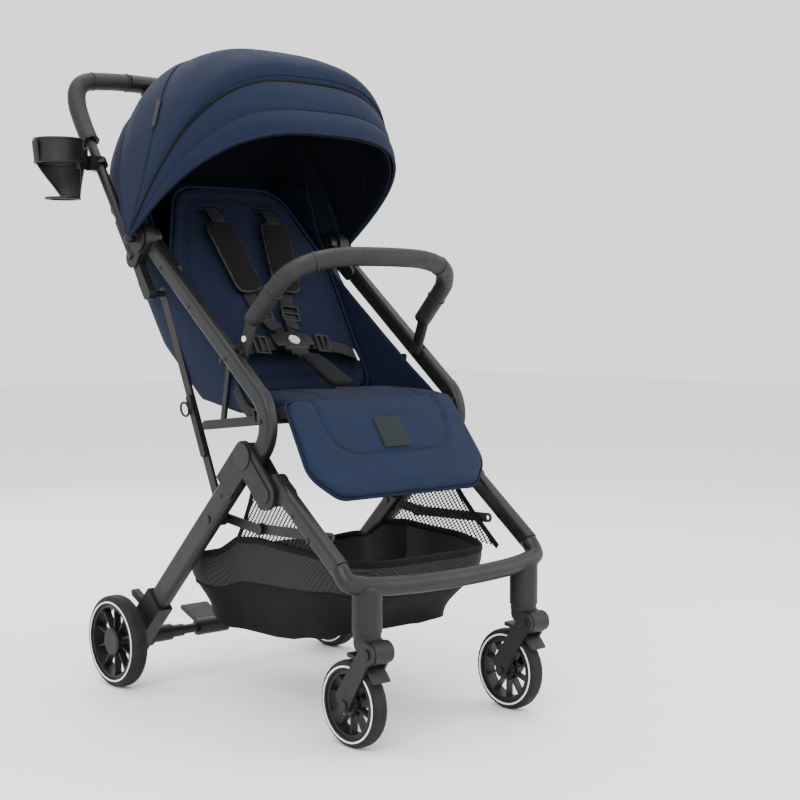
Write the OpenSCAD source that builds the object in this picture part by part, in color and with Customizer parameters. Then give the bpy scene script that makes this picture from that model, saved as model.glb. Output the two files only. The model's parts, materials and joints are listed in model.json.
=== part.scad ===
// Folding baby stroller: compact frame, reclining seat, hood, bumper bar and basket.
// +Z is up, the child faces -Y, and the origin is under the middle of the whole object.

/* [Wheels] */
// Diameter of the rear wheels
rear_wheel_d = 150; // [146:1:152]
// Diameter of the front wheels
front_wheel_d = 125; // [122:1:126]
// Spokes in each wheel
spokes = 10; // [8:1:12]

/* [Frame] */
// Middle plane of the legs and seat tubes, from the middle of the stroller
leg_x = 191; // [190:0.5:192]
// Width of the leg and seat tubes
tube_w = 20; // [19:0.5:20]
// Depth of the rear legs, seen from the side
rear_leg_t = 38; // [34:1:40]
// Depth of the front legs, seen from the side
front_leg_t = 28; // [26:1:30]
// Depth of the seat tubes, seen from the side
seat_tube_t = 28; // [26:1:28]
// Wall thickness of the aluminium tubes
wall = 1.6; // [1.2:0.1:2]

/* [Handle] */
// Diameter of the handle tubes
handle_d = 17; // [16:1:17]
// Diameter of the soft grip
grip_d = 29; // [28:1:30]

/* [Seat] */
// Width of the seat cushion
seat_w = 322; // [316:2:322]
// Thickness of the backrest pad
back_t = 32; // [26:1:36]
// Length of the backrest
back_len = 400; // [380:5:405]
// Width of the leg rest
rest_w = 340; // [330:2:342]

/* [Hood] */
// Reach of the hood's front rim from its pivot
rim_r = 284; // [280:1:286]
// Reach of the hood's middle bow from its pivot
mid_r = 330; // [326:1:331]

/* [Cup holder] */
// Inner radius of the ring that takes the cup
cup_r = 37; // [36:0.5:38]

/* [Hidden] */
$fn = 48;

// Points of the side view: [distance behind the main pivot, height]
pivot = [0, 403];
front_pivot = [-53, 350];
axle = [328, rear_wheel_d / 2];
link_foot = [101.3, 297];
brace_front = [-148, 293];
knuckle = [18, 288];
handle_pivot = [280, 733];
link_top = [262, 645];
front_leg_top = [-66, 366];
front_leg_end = [-207, 259];
elbow_c = [12, 450];
elbow_r = 55;
seat_slope = 38.5;
bumper_pivot = [38, 556];
crease = [128, 484];
front_hub = [-198, front_wheel_d / 2];
fork_pivot = [-247, 143];
caster_axis = -227;
caster_x = 158;
rear_wheel_x = 226;
// Plane of the rear folding links
link_x = 172.5;
rear_brace_x = 165;
front_brace_x = 159;
handle_x = 201;
tube_low = [300, 704];
collar = [450, 916];
back_slope = 60;

// Room between a pin and its bore
fit = 0.06;
pin_r = 5;
small_pin_r = 4;
cup_mid = [-268, 425];
cup_top = 899;
cup_h = 98;
cup_wall = 3;
rear_half_w = 14;
front_half_w = 12.5;

// Shift that puts the origin under the middle of the whole object
left_most = cup_mid[0] - cup_r - cup_wall - 3;
right_most = rear_wheel_x + rear_half_w + 2;
front_most = front_hub[0] - front_wheel_d / 2;
grip_back = 497;
back_most = grip_back + grip_d / 2;
shift = [-(left_most + right_most) / 2, -(front_most + back_most) / 2, 0];

black = [0.07, 0.07, 0.08];
charcoal = [0.16, 0.16, 0.17];
navy = [0.09, 0.14, 0.27];
light_navy = [0.16, 0.22, 0.36];

// ---- helpers ----
module place() translate(shift) children();

// Extrudes a side-view outline (y, z) along X between two planes
module slab(x0, x1) translate([min(x0, x1), 0, 0]) rotate([90, 0, 90])
    linear_extrude(height = abs(x1 - x0)) children();

module bar2(p, q, w, ends = true) {
    l = norm(q - p);
    translate(p) rotate(atan2(q[1] - p[1], q[0] - p[0])) translate([0, 0.1 - w / 2])
        square([l, w - 0.2]);
    if (ends) {
        translate(p) circle(d = w);
        translate(q) circle(d = w);
    }
}

module disc2(p, r) translate(p) circle(r = r);

// Cylinder along X through a side-view point
module peg(p, r, x0, x1) translate([min(x0, x1), p[0], p[1]]) rotate([0, 90, 0])
    cylinder(r = r, h = abs(x1 - x0));

// Round bar between two points in space
module rod(a, b, r) {
    d = b - a;
    l = norm(d);
    translate(a) rotate([0, acos(d[2] / l), atan2(d[1], d[0])]) cylinder(r = r, h = l);
}

function unit(v) = v / norm(v);

// Direction of a route at one of its points
function route_dir(pts, i) = let (n = len(pts))
    unit(pts[min(i + 1, n - 1)] - pts[max(i - 1, 0)]);

// Ring of a swept bar about one point of its route; up is a fixed side direction
function route_ring(pts, i, r, up, sides) = let (t = route_dir(pts, i),
        u = unit(up - (up * t) * t), v = cross(t, u))
    [for (k = [0:sides - 1]) pts[i] + r * (cos(k * 360 / sides) * u + sin(k * 360 / sides) * v)];

// Smooth bent bar that follows a route
module bent_rod(pts, r, up, sides = 14) {
    n = len(pts);
    rings = [for (i = [0:n - 1]) each route_ring(pts, i, r, up, sides)];
    walls = [for (i = [0:n - 2], k = [0:sides - 1]) let (j = (k + 1) % sides)
        [i * sides + k, (i + 1) * sides + k, (i + 1) * sides + j, i * sides + j]];
    polyhedron(rings, concat(walls, [[for (k = [0:sides - 1]) k]],
        [[for (k = [sides - 1:-1:0]) (n - 1) * sides + k]]), convexity = 6);
}

module round_rect(w, t, r) {
    square([w - 2 * r, t], center = true);
    square([w, t - 2 * r], center = true);
    for (i = [-1, 1], j = [-1, 1]) translate([i * (w / 2 - r), j * (t / 2 - r)]) circle(r = r);
}

// Hollow rounded tube in the side plane, from p to q
module leg_tube(x, p, q, w, t) {
    a = atan2(q[1] - p[1], q[0] - p[0]);
    translate([x, p[0], p[1]]) rotate([a - 90, 0, 0]) linear_extrude(height = norm(q - p))
        difference() {
            round_rect(w, t, 7);
            round_rect(w - 2 * wall, t - 2 * wall, 5.4);
        }
}

module mirrored(side) if (side < 0) mirror([1, 0, 0]) children(); else children();

function along(p, q, d) = p + (q - p) * (d / norm(q - p));
function polar(c, r, a) = [c[0] + r * cos(a), c[1] + r * sin(a)];

// ---- rear frame ----
module rear_leg(side) color(charcoal) place() mirrored(side) difference() {
    leg_tube(leg_x, along(pivot, axle, 44), along(axle, pivot, 70), tube_w, rear_leg_t);
    peg(link_foot, small_pin_r + fit, 170, 210);
}

// Plastic shell that holds the top of the rear leg between two cheeks
module hub_housing(side) color(black) place() mirrored(side) difference() {
    union() {
        slab(201.6, 207) {
            bar2(pivot, front_pivot, 46);
            bar2(pivot, along(pivot, axle, 74), 46, false);
        }
        slab(176, 180.4) {
            bar2(pivot, front_pivot, 34);
            bar2(pivot, along(pivot, axle, 44), 36, false);
        }
        // web below the pivot that joins the cheeks and plugs the leg
        slab(180.4, 201.6) bar2(along(pivot, axle, 27), along(pivot, axle, 43.5), 36, false);
        // raised oval plate on the outer face
        slab(207, 208.6) bar2(along(pivot, front_pivot, 16), front_pivot, 25);
    }
    peg(pivot, pin_r + fit, 150, 230);
    peg(pivot, 20.3, 205.5, 230);
    peg(front_pivot, pin_r + fit, 150, 206);
}

module wheel_housing(side) color(black) place() mirrored(side) difference() {
    union() {
        slab(178, 205) {
            bar2(along(axle, pivot, 108), axle, 46, false);
            disc2(axle, 25);
        }
        peg(axle, 18, 164, 178);
        peg(axle, 15, 205, 208.5);
        // quick-release tab for the wheel
        slab(186, 197) bar2(axle + [-30, 62], axle + [-2, 76], 12);
    }
    leg_pocket();
    peg(axle, 8 + fit, 150, 230);
}

module leg_pocket() {
    p = along(axle, pivot, 69.5);
    q = along(axle, pivot, 120);
    translate([leg_x, p[0], p[1]]) rotate([atan2(q[1] - p[1], q[0] - p[0]) - 90, 0, 0])
        linear_extrude(height = norm(q - p)) round_rect(tube_w + 0.4, rear_leg_t + 0.4, 7.2);
}

module rear_axle() color(charcoal) place() union() {
    difference() {
        peg(axle, 8, -208, 208);
        peg(axle, 5.5, -163, 163);
    }
    for (s = [-1, 1]) mirrored(s) {
        peg(axle, pin_r, 207, 236);
        difference() {
            union() {
                peg(axle, 14, 124, 163.6);
                peg(axle, 10.5, 100, 124);
            }
            peg(axle, 7, 90, 164);
        }
    }
}

// Pivot pins with their caps: main pivots, front-leg pivots and link pins
module frame_pins() color(black) place() for (s = [-1, 1]) mirrored(s) {
    peg(pivot, pin_r, 174, 206);
    peg(pivot, 19.8, 206, 210);
    peg(pivot, 8, 172, 175.7);
    peg(front_pivot, pin_r, 174, 205.6);
    peg(front_pivot, 8, 172, 175.7);
    peg(link_foot, small_pin_r, 161.5, 202);
    peg(link_foot, 6.5, 201.2, 203);
    peg(link_foot, 6.5, 161.3, 162.8);
}

basket_top = [[-168, 262], [-60, 285], [70, 288], [160, 234]];
basket_base = [[232, 142], [142, 112], [22, 114], [-59, 129], [-150, 160]];

// Fabric basket: floor, back, front and side walls, open at the top
module basket() color(black) place() difference() {
    intersection() {
        slab(-150, 150) polygon(concat(basket_top, basket_base));
        basket_plan(0, 152);
    }
    translate([0, 0, 6]) intersection() {
        slab(-144, 144) polygon(concat([[-150, 300], [60, 420], [168, 300], [158, 234]],
            [[218, 150], [142, 118], [22, 120], [-59, 135], [-138, 170]]));
        basket_plan(6, 146);
    }
}

// Plan of the basket, narrower at its front
module basket_plan(inset, half) linear_extrude(height = 600)
    polygon([[-half, 240], [half, 240], [half, -60], [124 - inset, -168 + inset],
        [-124 + inset, -168 + inset], [-half, -60]]);

module brake_pedal() color(black) place() difference() {
    union() {
        peg(axle, 14, -70, -10);
        slab(-66, -14) bar2(axle + [4, 8], axle + [52, 26], 9);
    }
    peg(axle, 8 + fit, -80, 0);
}

// ---- wheels ----
module tyre(p, d, half, x) color(black) place() translate([x, p[0], p[1]]) rotate([0, 90, 0])
    rotate_extrude($fn = 96) difference() {
        union() {
            translate([d / 2 - 14, -half]) square([6, 2 * half]);
            translate([d / 2 - 8, -half + 8]) square([8, 2 * half - 16]);
            for (s = [-1, 1]) translate([d / 2 - 8, s * (half - 8)]) circle(r = 8);
        }
        translate([d / 2 - 24, -half - 1]) square([10.2, 2 * half + 2]);
    }

module rim(p, d, half, x, side, bore) color(black) place() translate([x, p[0], p[1]])
    rotate([0, 90, 0]) difference() {
        union() {
            rotate_extrude($fn = 96) translate([d / 2 - 19, -half + 2])
                square([5, 2 * half - 4]);
            cylinder(r = d * 0.12, h = 2 * half - 2, center = true);
            for (i = [0:spokes - 1]) rotate(i * 360 / spokes)
                translate([d * 0.1, -1.6, -6]) cube([d / 2 - 17 - d * 0.1, 3.2, 12]);
            rotate_extrude() translate([d * 0.1, side * (half - 3) - 1.5])
                square([d * 0.045, 3]);
        }
        if (side != 0) translate([0, 0, -side * (half + 1)]) rotate([side > 0 ? 0 : 180, 0, 0])
            cylinder(r = bore, h = 2 * half - 3);
        else cylinder(r = bore, h = 4 * half, center = true);
    }

// ---- front frame ----
module front_leg(side) color(charcoal) place() mirrored(side) difference() {
    union() {
        leg_tube(leg_x, along(front_leg_top, front_leg_end, 20), front_leg_end, tube_w,
            front_leg_t);
        slab(leg_x - tube_w / 2 + 0.3, leg_x + tube_w / 2 - 0.3) {
            disc2(front_pivot, 19);
            bar2(front_leg_top, along(front_leg_top, front_leg_end, 26), front_leg_t - 1);
            bar2(front_pivot, front_leg_top, 30);
        }
    }
    peg(front_pivot, pin_r + fit, 150, 230);
    peg(brace_front, small_pin_r + fit, 150, 230);
}

// Route of the front cross bar, from the end of one leg over the casters to the other
function bar_point(t) = let (x = leg_x * cos(t))
    [x, front_leg_end[0] - 9 - 22 * pow(sin(t), 0.8), front_leg_end[1] - 7 - 24 * pow(sin(t), 0.5)];

module front_bar() color(black) place() union() {
    bent_rod(concat([[leg_x, front_leg_end[0] - 2.6, front_leg_end[1] - 2]],
        [for (t = [6:12:174]) bar_point(t)],
        [[-leg_x, front_leg_end[0] - 2.6, front_leg_end[1] - 2]]), 12, [0, 0.5, 0.85]);
    for (s = [-1, 1]) mirrored(s) difference() {
        union() {
            translate([caster_x, caster_axis, 169.5]) cylinder(r = 21.5, h = 62);
            translate([caster_x, caster_axis, 231.5]) cylinder(r1 = 21.5, r2 = 14, h = 5);
        }
        translate([caster_x, caster_axis, 160]) cylinder(r = 8 + fit, h = 58);
    }
}

module caster(side) color(black) place() mirrored(side) difference() {
    union() {
        translate([caster_x, caster_axis, 150]) cylinder(r = 8, h = 64);
        translate([caster_x, caster_axis, 160]) cylinder(r = 20, h = 9);
        slab(caster_x - 14.5, caster_x + 14.5) {
            disc2(fork_pivot, 17);
            bar2([caster_axis, 155], fork_pivot, 26);
        }
        // mudguard over the wheel
        slab(caster_x - 14.5, caster_x + 14.5) difference() {
            intersection() {
                disc2(front_hub, front_wheel_d / 2 + 13);
                translate([front_hub[0] - 62, front_hub[1] + 40]) square([60, 60]);
            }
            disc2(front_hub, front_wheel_d / 2 + 7);
        }
    }
    peg(front_hub, front_wheel_d / 2 + 7, caster_x - 30, caster_x + 30);
    peg(fork_pivot, pin_r + fit, caster_x - 40, caster_x + 40);
}

// Sprung arm that carries a front wheel between two plates
module fork(side) color(black) place() mirrored(side) {
    for (s = [-1, 1]) slab(caster_x + s * 15.2, caster_x + s * 20) {
        disc2(fork_pivot, 16);
        disc2(front_hub, 11);
        bar2(fork_pivot, front_hub, 22);
        bar2(fork_pivot + [10, -6], front_hub + [6, 12], 20);
    }
    peg(fork_pivot, pin_r, caster_x - 22, caster_x + 22);
    peg(fork_pivot, 8, caster_x + 20, caster_x + 22.5);
    peg(front_hub, pin_r, caster_x - 22, caster_x + 22);
    peg(front_hub, 8, caster_x + 20, caster_x + 22.5);
}

// ---- seat frame ----
tube_start = polar(elbow_c, elbow_r, 90 + seat_slope);
tube_end = handle_pivot - 27 * [cos(seat_slope), sin(seat_slope)];

module seat_tube(side) color(charcoal) place() mirrored(side) difference() {
    union() {
        leg_tube(leg_x, tube_start - 5 * [cos(seat_slope), sin(seat_slope)], tube_end, tube_w,
            seat_tube_t);
        // moulded elbow that sleeves the tube and turns down to the main pivot
        translate([leg_x, elbow_c[0], elbow_c[1]]) rotate([90, 0, 90])
            rotate([0, 0, 90 + seat_slope]) rotate_extrude(angle = 111, $fn = 96)
                translate([elbow_r, 0]) round_rect(seat_tube_t + 1.8, tube_w + 0.6, 7.5);
        peg(pivot, 19.6, leg_x - tube_w / 2 + 0.2, leg_x + tube_w / 2 - 0.2);
        // top fitting: inner plate and boss for the handle pivot
        slab(176, leg_x - tube_w / 2 + 1) bar2(handle_pivot, handle_pivot
            - 80 * [cos(seat_slope), sin(seat_slope)], 25);
        peg(handle_pivot, 20, 176, 190);
    }
    peg(pivot, pin_r + fit, 150, 230);
    peg(handle_pivot, 6 + fit, 150, 230);
    peg(bumper_pivot, pin_r + fit, 150, 192);
}

module seat_base() color(black) place() {
    for (s = [-1, 1]) mirrored(s) {
        slab(175.3, 180.6) {
            bar2([-20, 457], [34, 451], 15);
            bar2([34, 451], [136, 440], 15);
            bar2([90, 446], [72, 541], 10);
        }
        peg([-20, 457], 3, 180.6, 184);
    }
    peg([20, 452.5], 6, -175.6, 175.6);
    peg([128, 441], 6, -175.6, 175.6);
}

module seat_cushion() color(light_navy) place() slab(-seat_w / 2, seat_w / 2)
    polygon([[-58, 492], [-58, 478], [-50, 462], [96, 459.5], [112, 474], [118, 490], [100, 493]]);

shell_back = [[137, 462], [170, 478], [214, 507], [277, 563], [346, 653], [391, 721], [429, 781]];

// Side gussets and hanging back of the seat
module seat_shell() color(navy) place() {
    for (s = [-1, 1]) mirrored(s) slab(166.5, 169.5)
        polygon(concat([[20, 500], [40, 464]], shell_back, [[350, 770], [262, 690], [60, 533]]));
    slab(-166.5, 166.5)
        polygon(concat(shell_back, [for (i = [len(shell_back) - 1:-1:0]) shell_back[i] + [-3.2, 2.4]]));
}

module bumper_mounts() color(black) place() for (s = [-1, 1]) mirrored(s) {
    peg(bumper_pivot, pin_r, 169.9, 186);
    peg(bumper_pivot, 9, 169.7, 170.4);
}

module seat_pins() color(black) place() for (s = [-1, 1]) mirrored(s) {
    peg(handle_pivot, 6, 175.2, 209.5);
    peg(handle_pivot, 9, 175.1, 175.9);
    peg([62, 543], 3.5, 201.05, 202.8);
    peg([-36, 456], 3.5, 201.35, 203);
}

// Flat strap between two points in space
module strap(a, b, w, t) {
    d = b - a;
    l = norm(d);
    flat = norm([d[0], d[1]]);
    translate(a) rotate([0, 0, atan2(d[1], d[0])]) rotate([0, -atan2(d[2], flat), 0])
        translate([0, -w / 2, -t / 2]) cube([l, w, t]);
}

buckle_c = [0, 146, 566];
module lap_straps() color(black) place() {
    for (s = [-1, 1]) mirrored(s) strap([26, 150, 564], [150, 122, 504], 24, 3);
    strap([0, 4, 498.5], [0, 112, 538], 28, 8);
}

module buckle() color(black) place() difference() {
    translate(buckle_c) rotate([40, 0, 0]) union() {
        cube([46, 40, 12], center = true);
        translate([0, -26, 0]) cube([34, 12.2, 7], center = true);
    }
    translate(buckle_c) rotate([40, 0, 0]) translate([0, 0, 2]) cylinder(r = 10.2, h = 12);
}

module buckle_button() color([0.62, 0.68, 0.66]) place() translate(buckle_c)
    rotate([40, 0, 0]) translate([0, 0, 3.6]) cylinder(r = 9.8, h = 4);

// ---- backrest ----
// Runs children in the backrest's own frame: X across, Y up the pad, Z out of its face
module on_back() translate([0, crease[0], crease[1]]) rotate([back_slope, 0, 0])
    translate([0, 0, -back_t]) children();

module backrest() color(navy) place() on_back() linear_extrude(height = back_t) {
    translate([-160, 22]) square([320, back_len - 132]);
    translate([-130, back_len - 110]) square([260, 86]);
    for (s = [-1, 1]) translate([s * 60, back_len - 110]) circle(r = 100);
    translate([-60, back_len - 110]) square([120, 100]);
}

module shoulder_straps() color(black) place() for (s = [-1, 1]) {
    strap([s * 58, 318, 824], [s * 56, 262, 772], 30, 4);
    strap([s * 55, 262, 768], [s * 34, 200, 640], 56, 18);
    strap([s * 33, 199, 637], [s * 20, 172, 596], 25, 4);
}

// ---- leg rest ----
module leg_rest() color(light_navy) place() slab(-rest_w / 2, rest_w / 2)
    polygon([[-62, 488], [-84, 462], [-150, 362], [-146, 346], [-128, 346], [-62, 444], [-56, 458],
        [-60, 470]]);

// ---- bumper bar ----
function bumper_point(t) = [168 * pow(abs(cos(t)), 0.62) * sign(cos(t)),
    -24 - 55 * pow(sin(t), 0.9), 643 + 57 * pow(sin(t), 0.8)];

module bumper_bar() color(charcoal) place() {
    bent_rod(concat([[174, 22, 602]], [for (t = [4:12.285:176]) bumper_point(t)], [[-174, 22, 602]]),
        13, [0, 0.75, 0.66]);
    for (s = [-1, 1]) mirrored(s) difference() {
        slab(170.8, 180.4) bar2(bumper_pivot, [17, 606], 20);
        peg(bumper_pivot, pin_r + fit, 150, 200);
        peg([30, 576], 4.6, 176, 185);
    }
}

module bumper_button(side) color([0.9, 0.9, 0.9]) place() mirrored(side)
    peg([30, 576], 4.5, 178.4, 182.4);

// ---- hood ----
// Point of a hood line: t runs from one pivot over the top to the other
function hood_point(r, w, a, t) = let (k = r * pow(sin(t), 0.9))
    [w * sign(cos(t)) * pow(abs(cos(t)), 0.88), handle_pivot[0] - k * cos(a),
     handle_pivot[1] + k * sin(a)];

rim_a = 35;
mid_a = 60;
back_a = 88;
bow_r = 3;

module bow(r, w, a) bent_rod(concat([[w, handle_pivot[0], handle_pivot[1]]],
    [for (t = [10:16:170]) hood_point(r, w, a, t)], [[-w, handle_pivot[0], handle_pivot[1]]]), bow_r,
    [0, sin(a), cos(a)], 10);

module canopy_hubs() color(black) place() for (s = [-1, 1]) mirrored(s)
    peg(handle_pivot, 22, 210.4, 213.4);

module bow_eye(x0) for (s = [-1, 1]) mirrored(s) peg(handle_pivot, 7, x0, x0 + 4);

module canopy_bow_mid() color(black) place() {
    bow(mid_r - 8, 226, mid_a);
    bow_eye(224);
}

module canopy_bow_front() color(black) place() {
    bow(rim_r - 4, 218, rim_a);
    bow_eye(216);
}

// Wedge of the hood between two angles: a thin quarter shell about the pivot line
module hood_wedge(a0, a1, r, w) color(navy) place() translate([0, handle_pivot[0], handle_pivot[1]])
    rotate([180, 0, 0]) rotate([-a0, 0, 0]) rotate([0, 90, 0]) rotate([0, 0, 90])
    rotate_extrude(angle = -(a1 - a0), $fn = 96) hood_section(r, w);

// Half of an ellipse made of straight chords, as a band of even thickness
module hood_section(r, w) {
    outer = [for (t = [12:12:168]) [r * sin(t), w * cos(t)]];
    inner = [for (t = [168:-12:12]) [(r - 3) * sin(t), (w - 3) * cos(t)]];
    polygon(concat(outer, inner));
}

module canopy_front() hood_wedge(rim_a + 1.5, mid_a - 1.5, (rim_r + mid_r) / 2 + 12, 236);
module canopy_rear() hood_wedge(mid_a + 1.5, back_a, mid_r + 6, 240);
module canopy_back() hood_wedge(back_a + 1, 128, 262, 186);

// ---- handle ----
module handle_bracket(side) color(black) place() mirrored(side) difference() {
    union() {
        slab(191, 209) {
            disc2(handle_pivot, 25);
            bar2(handle_pivot, tube_low, 34);
        }
        slab(192.5, 206) {
            bar2(tube_low, link_top + [14, 20], 18);
            bar2(link_top + [14, 20], link_top, 20);
        }
        rod([handle_x, tube_low[0], tube_low[1]],
            [handle_x, along(tube_low, collar, 74)[0], along(tube_low, collar, 74)[1]], 11);
        peg(link_top, pin_r, 175.6, 193);
    }
    peg(handle_pivot, 6 + fit, 150, 230);
    rod([handle_x, along(tube_low, collar, 20)[0], along(tube_low, collar, 20)[1]],
        [handle_x, collar[0], collar[1]], handle_d / 2 + 0.05);
}

module handle_tube(side) color(charcoal) place() mirrored(side) difference() {
    p = along(tube_low, collar, 21);
    q = along(collar, tube_low, 1);
    rod([handle_x, p[0], p[1]], [handle_x, q[0], q[1]], handle_d / 2);
    rod([handle_x, p[0], p[1]], [handle_x, collar[0], collar[1]], handle_d / 2 - wall);
}

// Route of the grip: up from one tube, round the corner and across
function grip_route() = [[handle_x, collar[0] - 11, collar[1] - 16], [handle_x, 466, 938],
    [handle_x - 1, 484, 970], [handle_x - 9, 494, 996], [172, grip_back, 1010],
    [130, grip_back, 1014.5], [92, grip_back, 1016]];

module grip() color(black) place() for (s = [-1, 1]) mirrored(s) difference() {
    bent_rod(grip_route(), grip_d / 2, [0, -0.81, 0.58]);
    rod([handle_x, tube_low[0], tube_low[1]], [handle_x, collar[0], collar[1]],
        handle_d / 2 + 0.05);
}

module fold_housing() color(charcoal) place() difference() {
    union() {
        rod([-91, grip_back, 1016], [91, grip_back, 1016], grip_d / 2 + 0.9);
        translate([-62, grip_back - 24, 997]) cube([124, 30, 18]);
    }
    translate([-20.3, grip_back - 12.3, 1020]) cube([40.6, 24.6, 30]);
}

module fold_button() color(black) place() translate([-20, grip_back - 12, 1022.2])
    cube([40, 24, 10.2]);

// ---- cup holder ----
clip_at = along(tube_low, collar, 188);
module cup_clip() color(black) place() difference() {
    union() {
        c = along(tube_low, collar, 200);
        rod([-handle_x, clip_at[0], clip_at[1]], [-handle_x, c[0], c[1]], 14);
        translate([-222, clip_at[0] - 8, clip_at[1] - 7]) cube([20, 18, 24]);
    }
    rod([-handle_x, tube_low[0], tube_low[1]], [-handle_x, collar[0], collar[1]],
        handle_d / 2 + 0.05);
}

// Open tapered basket with a ring at the top that takes the cup
module cup_holder() color(black) place() difference() {
    union() {
        translate([cup_mid[0], cup_mid[1], cup_top - 22]) cylinder(r = cup_r + cup_wall, h = 22);
        translate([cup_mid[0], cup_mid[1], cup_top - cup_h])
            cylinder(r1 = 28, r2 = cup_r + cup_wall - 2, h = cup_h - 22);
        translate([cup_mid[0], cup_mid[1], cup_top - 5]) cylinder(r = cup_r + cup_wall + 3, h = 5);
        translate([-236, cup_mid[1] - 9, cup_top - 46]) cube([13.4, 18, 34]);
    }
    translate([cup_mid[0], cup_mid[1], cup_top - 22.01]) cylinder(r = cup_r, h = 30);
    translate([cup_mid[0], cup_mid[1], cup_top - cup_h + 4])
        cylinder(r1 = 25, r2 = cup_r - 2, h = cup_h - 26);
    translate([cup_mid[0], cup_mid[1], 780]) cylinder(r = 19, h = 40);
    for (a = [60:60:300]) translate([cup_mid[0], cup_mid[1], cup_top - 52])
        rotate([0, 0, a]) rotate([0, 90, 0]) translate([0, 0, 15]) cylinder(r = 12, h = 40);
}

// ---- folding links ----
module rear_links() color(charcoal) place() for (s = [-1, 1]) mirrored(s)
    slab(link_x - 2.5, link_x + 2.5) difference() {
        union() {
            bar2(link_foot, link_top, 16);
            disc2(link_foot, 11);
            disc2(link_top, 11);
        }
        disc2(link_foot, small_pin_r + fit);
        disc2(link_top, pin_r + fit);
    }

module fold_latch() color(black) place() mirror([1, 0, 0]) slab(175.3, 179)
    bar2(along(link_foot, link_top, 108), along(link_foot, link_top, 200), 13);

module rear_braces() color(black) place() for (s = [-1, 1]) mirrored(s) {
    slab(rear_brace_x - 2, rear_brace_x + 2) difference() {
        union() {
            bar2(link_foot, knuckle, 15);
            disc2(knuckle, 9);
        }
        disc2(link_foot, small_pin_r + fit);
    }
}

module front_braces() color(black) place() for (s = [-1, 1]) mirrored(s)
    slab(front_brace_x - 1.8, front_brace_x + 1.8) difference() {
        union() {
            bar2(brace_front, knuckle, 15);
            disc2(knuckle, 9);
        }
        disc2(brace_front, small_pin_r + fit);
    }

// ---- build ----
rear_leg(-1);  // rear_leg_left
rear_leg(1);  // rear_leg_right
hub_housing(-1);  // hub_housing_left
hub_housing(1);  // hub_housing_right
wheel_housing(-1);  // wheel_housing_left
wheel_housing(1);  // wheel_housing_right
rear_axle();
frame_pins();
basket();
brake_pedal();
tyre(axle, rear_wheel_d, rear_half_w, -rear_wheel_x);  // rear_tyre_left
rim(axle, rear_wheel_d, rear_half_w, -rear_wheel_x, -1, pin_r + fit);  // rear_rim_left
tyre(axle, rear_wheel_d, rear_half_w, rear_wheel_x);  // rear_tyre_right
rim(axle, rear_wheel_d, rear_half_w, rear_wheel_x, 1, pin_r + fit);  // rear_rim_right
front_leg(-1);  // front_leg_left
front_leg(1);  // front_leg_right
front_bar();
caster(-1);  // caster_left
caster(1);  // caster_right
fork(-1);  // fork_left
fork(1);  // fork_right
tyre(front_hub, front_wheel_d, front_half_w, -caster_x);  // front_tyre_left
rim(front_hub, front_wheel_d, front_half_w, -caster_x, 0, pin_r + fit);  // front_rim_left
tyre(front_hub, front_wheel_d, front_half_w, caster_x);  // front_tyre_right
rim(front_hub, front_wheel_d, front_half_w, caster_x, 0, pin_r + fit);  // front_rim_right
seat_tube(-1);  // seat_tube_left
seat_tube(1);  // seat_tube_right
seat_base();
seat_cushion();
seat_shell();
bumper_mounts();
seat_pins();
lap_straps();
buckle();
buckle_button();
backrest();
shoulder_straps();
leg_rest();
bumper_bar();
bumper_button(-1);  // bumper_button_left
bumper_button(1);  // bumper_button_right
canopy_hubs();
canopy_rear();
canopy_bow_mid();
canopy_front();
canopy_bow_front();
handle_bracket(-1);  // handle_bracket_left
handle_bracket(1);  // handle_bracket_right
handle_tube(-1);  // handle_tube_left
handle_tube(1);  // handle_tube_right
grip();
fold_housing();
fold_button();
cup_clip();
cup_holder();
rear_links();
rear_braces();
front_braces();
fold_latch();
canopy_back();
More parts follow.
